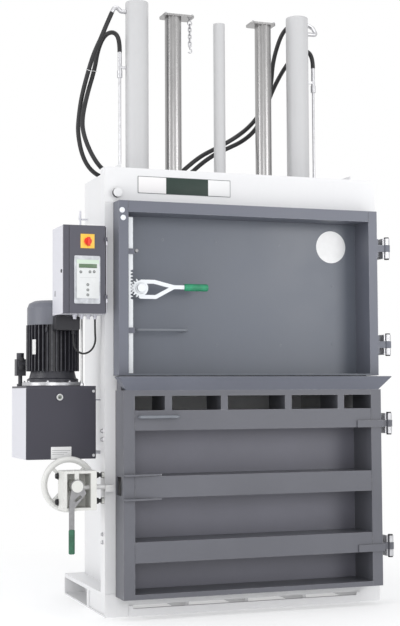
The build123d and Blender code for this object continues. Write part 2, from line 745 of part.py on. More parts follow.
def make_lower_door():
    sill_top = BASE_HEIGHT + DOOR_GAP
    sill = block(-half_width, half_width, -DOOR_GAP, POST_DEPTH, 0, sill_top)
    stiles = []
    for side in (-1, 1):
        piece = stile(side, LOWER_HALF, LOWER_INNER, LOWER_FRONT, LOWER_BOTTOM, LOWER_TOP)
        if side > 0:
            for z in LOWER_HINGES:
                piece += hinge_strap(z, LOWER_HALF, LOWER_FRONT)
                piece += block(
                    LOWER_HALF - 130, LOWER_HALF + 8, LOWER_FRONT - 8, LOWER_FRONT,
                    z - STRAP_HEIGHT / 2, z + STRAP_HEIGHT / 2,
                )
                piece += block(
                    LOWER_HALF, LOWER_HALF + 8, LOWER_FRONT - 8, HINGE_Y,
                    z - STRAP_HEIGHT / 2, z + STRAP_HEIGHT / 2,
                )
        else:
            piece -= block(
                -LOWER_HALF - 1, -LOWER_HALF + DOOR_PLATE + 1, KEEPER_CUT_FRONT,
                KEEPER_CUT_BACK, KEEPER_CUT_LOW, KEEPER_CUT_HIGH,
            )
            for z in KEEPER_GUSSETS:
                gusset = [
                    (-LOWER_HALF, LOWER_FRONT), (-LOWER_HALF, LOWER_FRONT - KEEPER_GUSSET_OUT),
                    (-LOWER_INNER, LOWER_FRONT - KEEPER_GUSSET_OUT), (KEEPER_GUSSET_END, LOWER_FRONT),
                ]
                piece += outline_z(gusset, z - DOOR_PLATE / 2, z + DOOR_PLATE / 2)
        stiles.append(piece - sill)
    save("lower_door_stiles", group(stiles))

    panel = block(
        -LOWER_INNER, LOWER_INNER, PANEL_FRONT, panel_back, sill_top, LOWER_BEAMS[0][1],
    )
    save("lower_door_panel", panel)

    beams = []
    for low, high in LOWER_BEAMS + ((LOWER_BOTTOM, LOWER_RAIL_HIGH),):
        section = [
            (PANEL_FRONT, low), (LOWER_FRONT, low), (LOWER_FRONT, high), (PANEL_FRONT, high),
            (PANEL_FRONT, high - DOOR_PLATE), (LOWER_FRONT + DOOR_PLATE, high - DOOR_PLATE),
            (LOWER_FRONT + DOOR_PLATE, low + DOOR_PLATE), (PANEL_FRONT, low + DOOR_PLATE),
        ]
        beams.append(outline_x(section, -LOWER_INNER, LOWER_INNER) - sill)
    save("lower_door_beams", group(beams))

    rail_section = [
        (LOWER_FRONT, SLOT_TOP), (panel_back, SLOT_TOP), (panel_back, LOWER_TOP),
        (panel_back - DOOR_PLATE, LOWER_TOP), (panel_back - DOOR_PLATE, SLOT_TOP + DOOR_PLATE),
        (LOWER_FRONT + DOOR_PLATE, SLOT_TOP + DOOR_PLATE), (LOWER_FRONT + DOOR_PLATE, LOWER_TOP),
        (LOWER_FRONT, LOWER_TOP),
    ]
    rail = outline_x(rail_section, -LOWER_INNER, LOWER_INNER)
    web_low = LOWER_BEAMS[0][1]
    for x in STRAP_WEB_XS:
        web = block(
            x - STRAP_WEB / 2, x + STRAP_WEB / 2, LOWER_FRONT, panel_back, web_low, SLOT_TOP,
        )
        web -= block(
            x - STRAP_WEB / 2 + 6, x + STRAP_WEB / 2 - 6, LOWER_FRONT + DOOR_PLATE,
            panel_back + 1, web_low - 1, SLOT_TOP,
        )
        rail += web
    keeper_right = LATCH_BAR_LEFT + LATCH_BAR_WIDTH + LATCH_SLOT_GAP + DOOR_PLATE
    keeper_front = LATCH_BAR_FRONT - KEEPER_PLATE_SIDE
    keeper_back = LATCH_BAR_FRONT + LATCH_BAR_PLATE + KEEPER_PLATE_SIDE / 2
    keeper = block(
        -LOWER_HALF, keeper_right, keeper_front, keeper_back, LOWER_TOP, KEEPER_PLATE_TOP,
    )
    keeper -= block(
        -LOWER_HALF + DOOR_PLATE, keeper_right - DOOR_PLATE, keeper_front - 1, keeper_back + 1,
        LOWER_TOP - 1, KEEPER_PLATE_TOP - DOOR_PLATE,
    )
    keeper -= latch_slot(LOWER_TOP, KEEPER_PLATE_TOP + 1)
    rail += block(
        keeper_right - DOOR_PLATE, keeper_right, keeper_front, keeper_back,
        SLOT_TOP, LOWER_TOP,
    )
    save("lower_door_top_rail", group([rail, keeper]))

    front_lip = [
        (-LIP_FOOT_HALF, LOWER_FRONT, LOWER_TOP), (LIP_FOOT_HALF, LOWER_FRONT, LOWER_TOP),
        (LIP_HALF, LIP_FRONT, LIP_TOP), (-LIP_HALF, LIP_FRONT, LIP_TOP),
    ]
    lip = thick_plate(front_lip, LIP_PLATE)
    lip += block(
        -LIP_FOOT_HALF, LIP_FOOT_HALF, LOWER_FRONT, LOWER_FRONT + 2 * DOOR_PLATE,
        LOWER_TOP, LOWER_TOP + LIP_PLATE,
    )
    for side in (-1, 1):
        side_lip = [
            (side * LIP_FOOT_HALF, LOWER_FRONT, LOWER_TOP), (side * LIP_HALF, LIP_FRONT, LIP_TOP),
            (side * LIP_HALF, LIP_SIDE_BACK, LIP_TOP),
            (side * LIP_FOOT_HALF, LIP_SIDE_BACK, LOWER_TOP),
        ]
        if side > 0:
            side_lip.reverse()
        lip += thick_plate(side_lip, LIP_PLATE)
    save("lower_door_lip", lip)

    left, right = LOWER_HANDLE
    route = [
        (left, LOWER_FRONT, LOWER_HANDLE_Z), (left, LOWER_HANDLE_Y, LOWER_HANDLE_Z),
        (right, LOWER_HANDLE_Y, LOWER_HANDLE_Z), (right, LOWER_FRONT, LOWER_HANDLE_Z),
    ]
    handle, length = tube_along(route, HANDLE_ROD, [14, 14])
    save("lower_door_handle", handle)


def thick_plate(corners, thickness):
    """A flat plate on four corners, thickened to its inner side."""
    face = make_face(Polyline(*corners, close=True)).face()
    normal = face.normal_at()
    if normal.Z < 0:
        normal = normal * -1
    return extrude(face, amount=thickness, dir=normal)


def make_latch():
    """The toothed bar, the toothed lever that drives it, its grip and the guide clips."""
    tooth = math.pi * LATCH_TOOTH_MODULE
    bar_right = LATCH_BAR_LEFT + LATCH_BAR_WIDTH
    bar_back = LATCH_BAR_FRONT + LATCH_BAR_PLATE
    bar = block(
        LATCH_BAR_LEFT, bar_right, LATCH_BAR_FRONT, bar_back, LATCH_BAR_BOTTOM, LATCH_BAR_TOP,
    )
    root = rack_line - 1.25 * LATCH_TOOTH_MODULE
    slope = math.tan(math.radians(20))
    for number in range(-3, 6):
        z = LATCH_Z + number * tooth
        half_open = tooth / 4 + 1.0
        reach = bar_right - rack_line + 1
        depth = 1.25 * LATCH_TOOTH_MODULE
        gap = [
            (rack_line + reach, z - half_open - reach * slope),
            (rack_line + reach, z + half_open + reach * slope),
            (root, z + half_open - depth * slope),
            (root, z - half_open + depth * slope),
        ]
        bar -= outline_y(gap, LATCH_BAR_FRONT - 1, bar_back + 1)
    save("latch_bar", bar)

    clips = []
    for z in LATCH_CLIPS:
        clip = block(
            -UPPER_INNER, bar_right + CLIP_WALL, LATCH_BAR_FRONT - CLIP_WALL,
            bar_back + CLIP_WALL, z - CLIP_HEIGHT / 2, z + CLIP_HEIGHT / 2,
        )
        clip -= block(
            LATCH_BAR_LEFT - CLIP_GAP, bar_right + CLIP_GAP, LATCH_BAR_FRONT - CLIP_GAP,
            bar_back + CLIP_GAP, z - CLIP_HEIGHT / 2 - 1, z + CLIP_HEIGHT / 2 + 1,
        )
        clips.append(clip)
    lever_front = LATCH_BAR_FRONT
    lever_back = lever_front + LEVER_PLATE
    boss_front = lever_back + 1
    head_back = lever_front - 5.5
    bolt = rod_y(lever_x, head_back - 8, PANEL_FRONT, LATCH_Z, LEVER_BOLT)
    bolt += rod_y(lever_x, boss_front, PANEL_FRONT, LATCH_Z, LEVER_BOLT + 16)
    bolt += rod_y(lever_x, head_back - 8, head_back, LATCH_Z, LEVER_BOLT + 14)
    clips.append(bolt)
    save("latch_guides", group(clips))

    tip = pitch_radius + 0.9 * LATCH_TOOTH_MODULE
    base_radius = pitch_radius - 1.25 * LATCH_TOOTH_MODULE
    lever = rod_y(lever_x, lever_front, lever_back, LATCH_Z, 2 * base_radius)
    step = 360.0 / LATCH_TEETH_ROUND
    half_pitch = math.radians(step) / 4
    for number in range(-3, 5):
        angle = math.radians(180.0 + number * step)
        lever += lever_tooth(angle, half_pitch, base_radius, tip, lever_front, lever_back)
    lever += lever_loop(lever_front, lever_back)
    lever += rod_y(lever_x, lever_front - 5, lever_back, LATCH_Z, LEVER_HUB)
    lever -= rod_y(
        lever_x, lever_front - 6, lever_back + 1, LATCH_Z, LEVER_BOLT + 2 * RUNNING_GAP,
    )
    save("latch_lever", lever)
    grip_y = (lever_front + lever_back) / 2
    shank_z = LATCH_Z + LEVER_SHANK_RISE
    grip = rod_x(GRIP_START, GRIP_END, grip_y, shank_z, GRIP_DIAMETER)
    end_edges = grip.edges().filter_by(GeomType.CIRCLE)
    grip = fillet(end_edges, 8)
    grip -= block(
        GRIP_START - 1, GRIP_END - GRIP_STOP, lever_front, lever_back,
        shank_z - LEVER_ARM / 2, shank_z + LEVER_ARM / 2,
    )
    save("latch_grip", grip)


def lever_tooth(angle, half_pitch, root, tip, front, back):
    """One tooth of the lever, with straight flanks that narrow to the tip."""
    narrow = 0.84 * half_pitch
    points = []
    for radius, offset in (
        (root - 3, -1.75 * narrow), (pitch_radius, -narrow), (tip, -0.42 * narrow),
        (tip, 0.42 * narrow), (pitch_radius, narrow), (root - 3, 1.75 * narrow),
    ):
        turn = angle + offset
        points.append((lever_x + radius * math.cos(turn), LATCH_Z + radius * math.sin(turn)))
    return outline_y(points, front, back)


def lever_loop(front, back):
    """The lever's two flat arms, which part at the hub and meet before the grip."""
    rise = LEVER_SHANK_RISE
    upper = [(lever_x + 4, 31.0), (-478.0, 31.0), (-382.0, rise)]
    lower = [(lever_x, -40.0), (-471.0, -40.0), (-382.0, rise)]
    arms = None
    for line in (upper, lower):
        for (x0, z0), (x1, z1) in zip(line, line[1:]):
            length = math.hypot(x1 - x0, z1 - z0)
            lean = math.degrees(math.atan2(z1 - z0, x1 - x0))
            middle = Pos((x0 + x1) / 2, (front + back) / 2, LATCH_Z + (z0 + z1) / 2)
            bar = middle * Rot(0, -lean, 0) * Box(length, back - front, LEVER_ARM)
            arms = bar if arms is None else arms + bar
            arms += rod_y(x0, front, back, LATCH_Z + z0, LEVER_ARM)
    shank = block(
        -392.0, GRIP_END - GRIP_STOP, front, back,
        LATCH_Z + rise - LEVER_ARM / 2, LATCH_Z + rise + LEVER_ARM / 2,
    )
    return arms + shank


def make_lock():
    cheek_left = block(
        CAGE_LEFT, CAGE_LEFT + CAGE_CHEEK_LEFT, CAGE_FRONT, CAGE_BACK, CAGE_LOW, CAGE_HIGH,
    )
    cheek_right = block(
        CAGE_RIGHT - CAGE_CHEEK_RIGHT, CAGE_RIGHT, CAGE_FRONT, CAGE_CHEEK_BACK,
        CAGE_LOW, CAGE_HIGH,
    )
    inner_left = CAGE_LEFT + CAGE_CHEEK_LEFT
    inner_right = CAGE_RIGHT - CAGE_CHEEK_RIGHT
    cage = cheek_left + cheek_right
    cage += block(
        inner_left, inner_right, CAGE_FRONT, CAGE_BACK, CAGE_HIGH - CAGE_PLATE, CAGE_HIGH,
    )
    cage += block(
        inner_left, inner_right, CAGE_FRONT, CAGE_BACK, CAGE_LOW, CAGE_LOW + CAGE_PLATE,
    )
    cage += block(
        inner_left, inner_right, CAGE_BACK - CAGE_PLATE, CAGE_BACK, CAGE_LOW, CAGE_HIGH,
    )
    cage += rod_y(LOCK_X, HOUSING_FRONT, CAGE_BACK, LOCK_Z, HOUSING_DIAMETER)
    cage += rod_x(LOCK_X, LOCK_X + HOUSING_DIAMETER / 2 + 6, BOLT_Y, BOLT_Z, BOLT_BAR + 10)
    shaft_bore = WHEEL_SHAFT + 2 * RUNNING_GAP
    cage -= rod_y(LOCK_X, HOUSING_FRONT - 1, CAGE_BACK + 1, LOCK_Z, shaft_bore)
    bar_bore = BOLT_BAR + 2 * RUNNING_GAP
    bar_start = LOCK_X + WHEEL_SHAFT / 2 + 6
    cage -= rod_x(bar_start, CAGE_RIGHT + 1, BOLT_Y, BOLT_Z, bar_bore)
    for side in (-1, 1):
        cage += rod_x(
            CAGE_RIGHT, -half_width, STUD_Y, STUD_Z + side * STUD_OFFSET, STUD_DIAMETER,
        )
        cage += rod_x(
            CAGE_RIGHT, CAGE_RIGHT + 12, STUD_Y, STUD_Z + side * STUD_OFFSET,
            STUD_DIAMETER + 12,
        )
        cage += rod_x(
            -half_width - 12, -half_width, STUD_Y, STUD_Z + side * STUD_OFFSET,
            STUD_DIAMETER + 12,
        )
    plate_back = HOUSING_FRONT - 10
    plate_front = plate_back - RELEASE_PLATE
    strap_front = plate_back + 0.5
    pivot = rod_y(LOCK_X, plate_front - 4, HOUSING_FRONT - 0.3, LOCK_Z, RELEASE_PIVOT)
    pivot += rod_y(LOCK_X, plate_front - 4, plate_front - 0.5, LOCK_Z, RELEASE_CAP)
    pivot += block(
        LOCK_X - 10, LOCK_X + 10, strap_front, HOUSING_FRONT - 0.3, LOCK_Z - 10, CAGE_HIGH,
    )
    save("lock_cage", cage + pivot)

    rim = Pos(LOCK_X, WHEEL_Y, LOCK_Z) * Rot(90, 0, 0) * Torus(
        (WHEEL_OUTER - WHEEL_RIM) / 2, WHEEL_RIM / 2,
    )
    wheel = rod_y(LOCK_X, WHEEL_Y - 16, WHEEL_Y + 14, LOCK_Z, WHEEL_HUB)
    spoke_end = (WHEEL_OUTER - WHEEL_RIM) / 2
    for number in range(WHEEL_SPOKES):
        turn = 45 + number * 360 / WHEEL_SPOKES
        spoke = rod_x(0, spoke_end, 0, 0, WHEEL_SPOKE)
        wheel += Pos(LOCK_X, WHEEL_Y, LOCK_Z) * Rot(0, turn, 0) * spoke
    wheel += rim
    wheel += rod_y(LOCK_X, HOUSING_FRONT, WHEEL_Y, LOCK_Z, WHEEL_SHAFT)
    wheel += rod_y(LOCK_X, CAGE_BACK + 0.3, CAGE_BACK + 10, LOCK_Z, WHEEL_SHAFT + 14)
    save("hand_wheel", wheel)

    length, width, height = BOLT_BLOCK
    draw = rod_x(bar_start + 2, BOLT_BLOCK_END - length + 5, BOLT_Y, BOLT_Z, BOLT_BAR)
    draw += block(
        BOLT_BLOCK_END - length, BOLT_BLOCK_END, BOLT_Y - width / 2, BOLT_Y + width / 2,
        BOLT_Z - BOLT_BLOCK_DROP - height / 2, BOLT_Z - BOLT_BLOCK_DROP + height / 2,
    )
    save("draw_bolt", draw)

    hub = rod_y(LOCK_X, plate_front, plate_back, LOCK_Z, RELEASE_HUB)
    half = RELEASE_WIDTH / 2
    shank_end = RELEASE_GRIP_END + RELEASE_GRIP / 2
    neck = [
        (LOCK_X - 26, LOCK_Z - 10), (LOCK_X + 29, LOCK_Z - 6), (LOCK_X + 42, LOCK_Z - 32),
        (RELEASE_X + half, LOCK_Z - 98), (RELEASE_X + half, shank_end),
        (RELEASE_X - half, shank_end), (RELEASE_X - half, LOCK_Z - 60),
    ]
    release = hub + outline_y(neck, plate_front, plate_back)
    slot_low = (LOCK_X - 11, LOCK_Z - 66)
    slot_high = (LOCK_X + 17, LOCK_Z - 43)
    slot_length = math.hypot(slot_high[0] - slot_low[0], slot_high[1] - slot_low[1])
    slot_lean = math.degrees(math.atan2(slot_high[1] - slot_low[1], slot_high[0] - slot_low[0]))
    slot = Pos(
        (slot_low[0] + slot_high[0]) / 2, (plate_front + plate_back) / 2,
        (slot_low[1] + slot_high[1]) / 2,
    ) * Rot(0, -slot_lean, 0) * Box(slot_length, RELEASE_PLATE + 2, RELEASE_SLOT)
    release -= slot
    bore = RELEASE_PIVOT + 2 * RUNNING_GAP
    release -= rod_y(LOCK_X, plate_front - 1, plate_back + 1, LOCK_Z, bore)
    save("release_lever", release)
    grip = rod_z(
        RELEASE_X, (plate_front + plate_back) / 2, RELEASE_GRIP_END, RELEASE_GRIP_TOP,
        RELEASE_GRIP,
    )
    grip = fillet(grip.edges().filter_by(GeomType.CIRCLE), 5)
    grip -= block(
        RELEASE_X - half, RELEASE_X + half, plate_front, plate_back, shank_end,
        RELEASE_GRIP_TOP + 1,
    )
    save("release_grip", grip)


def make_power_unit():
    tank = block(
        TANK_LEFT, TANK_RIGHT, TANK_FRONT + TANK_COVER, TANK_BACK, TANK_BOTTOM, TANK_TOP,
    )
    tank -= block(
        TANK_LEFT + TANK_SHEET, TANK_RIGHT - TANK_SHEET, TANK_FRONT + TANK_COVER + TANK_SHEET,
        TANK_BACK - TANK_SHEET, TANK_BOTTOM + TANK_SHEET, TANK_TOP + 1,
    )
    for low in (TANK_BOTTOM + 20, TANK_TOP - 60):
        tank += block(
            TANK_RIGHT, -half_chamber - WALL_PLATE, TANK_FRONT + 40, TANK_BACK - 40, low, low + 6,
        )
        tank += block(
            -half_chamber - WALL_PLATE - 6, -half_chamber - WALL_PLATE, TANK_FRONT + 40,
            TANK_BACK - 40, low, low + 40,
        )
    save("oil_tank", tank)
    cover = block(
        TANK_LEFT, TANK_RIGHT, TANK_FRONT, TANK_FRONT + TANK_COVER, TANK_BOTTOM, TANK_TOP,
    )
    cover = fillet(cover.edges().filter_by(Axis.Y), 6)
    cover += rod_y(SIGHT_X, TANK_FRONT - 4, TANK_FRONT, SIGHT_Z, SIGHT_DIAMETER)
    cover -= rod_y(SIGHT_X, TANK_FRONT - 5, TANK_FRONT - 2, SIGHT_Z, SIGHT_DIAMETER - 12)
    save("tank_cover", cover)
    lid = block(TANK_LEFT, TANK_RIGHT, TANK_FRONT, TANK_BACK, TANK_TOP, TANK_TOP + TANK_LID)
    lid_top = TANK_TOP + TANK_LID
    lid -= rod_z(MOTOR_X, MOTOR_Y, TANK_TOP - 1, lid_top + 1, MOTOR_SHAFT + 40)
    save("tank_lid", lid)
    ring = rod_z(MOTOR_X, MOTOR_Y, lid_top, lid_top + RING_HEIGHT, RING_DIAMETER)
    ring = chamfer(ring.edges().filter_by(GeomType.CIRCLE), 3)
    ring -= rod_z(MOTOR_X, MOTOR_Y, lid_top - 1, lid_top + RING_HEIGHT + 1, MOTOR_SHAFT + 40)
    save("motor_ring", ring)

    low = lid_top + RING_HEIGHT
    core = MOTOR_CORE / 2
    bell = MOTOR_FINS / 2 - 4
    bore = MOTOR_SHAFT / 2 + RUNNING_GAP
    profile = [
        (bore, low), (bell, low), (bell, low + 14), (core + 12, low + 20), (core + 4, FIN_LOW),
        (core, FIN_LOW), (core, FIN_HIGH), (bore, FIN_HIGH),
    ]
    motor = turned(profile, MOTOR_X, MOTOR_Y)
    fins = []
    for number in range(FIN_COUNT):
        turn = (number + 0.5) * 360 / FIN_COUNT
        fin = block(
            core - 4, MOTOR_FINS / 2, -FIN_THICKNESS / 2, FIN_THICKNESS / 2, FIN_LOW, FIN_HIGH,
        )
        fins.append(Pos(MOTOR_X, MOTOR_Y, 0) * Rot(0, 0, turn) * fin)
    motor = motor.fuse(*fins)
    motor += block(
        TERMINAL_LEFT + 20, TERMINAL_RIGHT - 20, TERMINAL_BACK, MOTOR_Y - core + 20,
        TERMINAL_LOW + 4, FIN_HIGH - 2,
    )
    eye_x = MOTOR_X - 58
    eye_y = MOTOR_Y - MOTOR_FINS / 2 + 26
    motor += Pos(eye_x, eye_y - 14, FIN_HIGH - 24) * Rot(0, 90, 0) * Torus(11, 3.5)
    save("motor_housing", motor)

    outer = COWL_DIAMETER / 2
    inner = outer - COWL_SHEET
    shoulder = 34.0
    profile = [
        (outer, FIN_HIGH), (outer, COWL_TOP - shoulder), (outer - 9, COWL_TOP - 12),
        (outer - shoulder, COWL_TOP), (0.0, COWL_TOP), (0.0, COWL_TOP - COWL_SHEET),
        (inner - shoulder, COWL_TOP - COWL_SHEET), (inner - 9, COWL_TOP - 12 - COWL_SHEET),
        (inner, COWL_TOP - shoulder), (inner, FIN_HIGH),
    ]
    cowl = turned(profile, MOTOR_X, MOTOR_Y)
    slots = []
    for number in range(COWL_SLOTS):
        slot = block(28, outer - shoulder - 4, -3.5, 3.5, COWL_TOP - 8, COWL_TOP + 1)
        slots.append(Pos(MOTOR_X, MOTOR_Y, 0) * Rot(0, 0, number * 360 / COWL_SLOTS) * slot)
    cowl = cowl.cut(*slots)
    save("motor_cowl", cowl)

    fan = rod_z(MOTOR_X, MOTOR_Y, FAN_LOW, FAN_HIGH - 6, MOTOR_SHAFT + 20)
    blades = []
    for number in range(FAN_BLADES):
        blade = block(20, FAN_DIAMETER / 2, -2, 2, FAN_LOW, FAN_HIGH)
        blades.append(Pos(MOTOR_X, MOTOR_Y, 0) * Rot(0, 0, number * 360 / FAN_BLADES) * blade)
    fan = fan.fuse(*blades)
    fan += rod_z(MOTOR_X, MOTOR_Y, FAN_LOW, FAN_LOW + 4, FAN_DIAMETER - 10)
    fan += rod_z(MOTOR_X, MOTOR_Y, TANK_TOP - 60, FAN_HIGH - 6, MOTOR_SHAFT)
    save("motor_fan", fan)

    box = block(
        TERMINAL_LEFT, TERMINAL_RIGHT, TERMINAL_FRONT, TERMINAL_BACK, TERMINAL_LOW, TERMINAL_HIGH,
    )
    box = fillet(box.edges().filter_by(Axis.Y), 8)
    lid_line = TERMINAL_FRONT + 16
    shell = box - block(
        TERMINAL_LEFT - 1, TERMINAL_RIGHT + 1, lid_line, lid_line + 2, TERMINAL_LOW - 1,
        TERMINAL_HIGH + 1,
    )
    core_box = block(
        TERMINAL_LEFT + 2, TERMINAL_RIGHT - 2, lid_line - 1, lid_line + 3, TERMINAL_LOW + 2,
        TERMINAL_HIGH - 2,
    )
    box = shell + core_box
    box += rod_z(-826.0, 104.0, TERMINAL_LOW - 16, TERMINAL_LOW, 20)
    save("terminal_box", box)

    half = VALVE_WIDTH / 2
    valve = block(
        VALVE_X - half, VALVE_X + half, VALVE_Y - half, VALVE_Y + half, VALVE_LOW, VALVE_HIGH - 30,
    )
    valve += rod_z(VALVE_X, VALVE_Y, VALVE_HIGH - 30, VALVE_HIGH, VALVE_WIDTH - 10)
    valve += block(
        VALVE_X - half + 6, VALVE_X + half - 6, VALVE_Y - half - 14, VALVE_Y - half,
        VALVE_LOW + 44, VALVE_LOW + 78,
    )
    valve += rod_z(VALVE_X, VALVE_Y, lid_top, VALVE_LOW, 20)
    valve += rod_z(VALVE_X, VALVE_Y, lid_top, lid_top + 12, 32)
    save("valve_block", valve)


def make_cabinet():
    sheet = CABINET_SHEET
    box = block(
        CABINET_LEFT, CABINET_RIGHT, CABINET_FRONT, CABINET_BACK, CABINET_LOW, CABINET_HIGH,
    )
    box -= block(
        CABINET_LEFT + sheet, CABINET_RIGHT - sheet, CABINET_FRONT - 1, CABINET_BACK - sheet,
        CABINET_LOW + sheet, CABINET_HIGH - sheet,
    )
    box += block(
        CABINET_LEFT, CABINET_LEFT + CABINET_STRIP, CABINET_FRONT - CABINET_DOOR_DEPTH,
        CABINET_FRONT, CABINET_LOW, CABINET_HIGH,
    )
    for z in (CABINET_LOW + 60, CABINET_HIGH - 90):
        box += block(CABINET_RIGHT, -half_width, 12, POST_DEPTH - 12, z, z + 30)
    hinge_x = CABINET_RIGHT - CABINET_HINGE_RADIUS
    hinge_y = CABINET_FRONT - CABINET_DOOR_DEPTH - CABINET_HINGE_RADIUS
    for z in (CABINET_LOW + 50, CABINET_HIGH - 90):
        box += rod_z(hinge_x, hinge_y, z, z + 18, 2 * CABINET_HINGE_RADIUS)
        box += block(
            hinge_x, CABINET_RIGHT, hinge_y, CABINET_FRONT, z, z + 18,
        )
    for x in GLAND_XS:
        box += rod_z(x, GLAND_Y, CABINET_LOW - 8, CABINET_LOW, GLAND_DIAMETER)
        box += rod_z(
            x, GLAND_Y, CABINET_LOW - GLAND_LENGTH, CABINET_LOW - 8, GLAND_DIAMETER - 6,
        )
    save("cabinet_box", box)

    door_left = CABINET_LEFT + CABINET_STRIP + CABINET_DOOR_GAP
    door_right = CABINET_RIGHT - 2 * CABINET_HINGE_RADIUS - CABINET_DOOR_GAP
    door_front = CABINET_FRONT - CABINET_DOOR_DEPTH
    door_back = CABINET_FRONT - 0.3
    door = block(door_left, door_right, door_front, door_back, CABINET_LOW, CABINET_HIGH)
    door -= block(
        door_left + sheet, door_right - sheet, door_front + sheet, door_back + 1,
        CABINET_LOW + sheet, CABINET_HIGH - sheet,
    )
    for z in (CABINET_LOW + 68.4, CABINET_HIGH - 71.6):
        door += rod_z(hinge_x, hinge_y, z, z + 18, 2 * CABINET_HINGE_RADIUS)
        door += block(
            door_right - 4, hinge_x, hinge_y - CABINET_HINGE_RADIUS, hinge_y, z, z + 18,
        )
        door += block(door_right - 4, door_right, hinge_y - 4, door_front + 1, z, z + 18)
    door -= rod_y(SWITCH_X, door_front - 1, door_back + 1, SWITCH_Z, 12 + 2 * RUNNING_GAP)
    save("cabinet_door", door)

    left, right, low, high = KEYPAD
    keypad = block(left, right, door_front - KEYPAD_DEPTH, door_front, low, high)
    keypad = fillet(keypad.edges().filter_by(Axis.Y), 6)
    keypad -= block(
        left + KEYPAD_MARGIN, right - KEYPAD_MARGIN, door_front - KEYPAD_DEPTH - 1,
        door_front - KEYPAD_DEPTH + 1.5, low + 2 * KEYPAD_MARGIN, high - 2 * KEYPAD_MARGIN,
    )
    save("keypad", keypad)

    knob = rod_y(SWITCH_X, door_front - 14, door_front - 0.3, SWITCH_Z, SWITCH_BASE)
    knob += block(
        SWITCH_X - 6, SWITCH_X + 6, door_front - SWITCH_DEPTH, door_front - 13,
        SWITCH_Z - SWITCH_BASE / 2 - 6, SWITCH_Z + SWITCH_BASE / 2,
    )
    knob += rod_y(SWITCH_X, door_front - 1, door_back, SWITCH_Z, 12)
    save("switch_knob", knob)

    back = CABINET_BACK - sheet
    board = block(
        CABINET_LEFT + 20, CABINET_RIGHT - 20, back - 3, back, CABINET_LOW + 20, CABINET_HIGH - 20,
    )
    board += block(-890.0, -810.0, back - 65, back - 3, 1640.0, 1760.0)
    for number in range(3):
        x = -795.0 + number * 28
        board += block(x, x + 23, back - 60, back - 3, 1660.0, 1740.0)
    board += block(-890.0, -730.0, back - 40, back - 3, 1440.0, 1480.0)
    board += block(-890.0, -800.0, back - 70, back - 3, 1510.0, 1600.0)
    save("cabinet_board", board)


    route = [
        (-780.0, 150.0, CABINET_HIGH), (-780.0, 150.0, 1890.0), (-650.0, 675.0, 1922.0),
        (-half_chamber - WALL_PLATE, 675.0, 1922.0),
    ]
    conduit, length = tube_along(route, CONDUIT_DIAMETER, [20, 20])
    save("cabinet_conduit", conduit)


def make_hydraulics():
    manifold = block(
        MANIFOLD_LEFT, MANIFOLD_RIGHT, MANIFOLD_FRONT, MANIFOLD_BACK, CROSS_TOP,
        CROSS_TOP + MANIFOLD_HEIGHT,
    )
    port_z = CROSS_TOP + PORT_RISE
    for y in PORT_YS:
        manifold += rod_x(
            MANIFOLD_LEFT - PORT_LENGTH, MANIFOLD_LEFT, y, port_z, PORT_DIAMETER,
        )
        manifold += rod_x(
            MANIFOLD_RIGHT, MANIFOLD_RIGHT + PORT_LENGTH, y, port_z, PORT_DIAMETER,
        )
    save("hose_manifold", manifold)

    pipes = []
    for side in (-1, 1):
        x = side * PIPE_X
        pipe = rod_z(x, PRESS_Y, CROSS_TOP, PIPE_TOP - PIPE_FITTING_LENGTH, PIPE_DIAMETER)
        fitting_low = PIPE_TOP - PIPE_FITTING_LENGTH
        pipe += rod_z(x, PRESS_Y, fitting_low, PIPE_TOP, PIPE_FITTING - 6)
        pipe += rod_z(x, PRESS_Y, fitting_low, fitting_low + 36, PIPE_FITTING)
        clamp_x = side * (CYLINDER_X + CYLINDER_OUTER / 2)
        pipe += block(
            clamp_x, x, PRESS_Y - 8, PRESS_Y + 8, fitting_low + 46, fitting_low + 58,
        )
        pipe += rod_z(x, PRESS_Y, CROSS_TOP, CROSS_TOP + 30, PIPE_FITTING)
        pipe += rod_x(
            side * (CYLINDER_FLANGE / 2 + CYLINDER_X), x, PRESS_Y, CROSS_TOP + 10, 12,
        )
        pipes.append(pipe)
    save("rod_side_pipes", group(pipes))

    elbows = []
    for route in (ELBOW_LEFT, ELBOW_RIGHT):
        radii = [ELBOW_RADIUS] * (len(route) - 2)
        elbow, length = tube_along(route, PIPE_FITTING - 4, radii)
        elbows.append(elbow)
    save("port_elbows", group(elbows))

    for name, route in HOSES.items():
        hose, length = tube_along(route, HOSE_DIAMETER)
        report_tube(name, route, hose, length, HOSE_DIAMETER)
        save(name, hose)
    cable, length = tube_along(MOTOR_CABLE, CABLE_DIAMETER)
    report_tube("motor_cable", MOTOR_CABLE, cable, length, CABLE_DIAMETER)
    save("motor_cable", cable)


def report_tube(name, route, solid, length, diameter):
    ideal = math.pi * diameter ** 2 / 4 * length
    radii = [round(radius) for radius in bend_radii(route)]
    share = solid.volume / ideal
    print(name, "length", round(length), "volume share", round(share, 4), "radii", radii)


PORT_YS = (465.0, 550.0)
port_level = CROSS_TOP + PORT_RISE
hose_left_end = MANIFOLD_LEFT - PORT_LENGTH
hose_right_end = MANIFOLD_RIGHT + PORT_LENGTH
cylinder_side = CYLINDER_X + CYLINDER_OUTER / 2

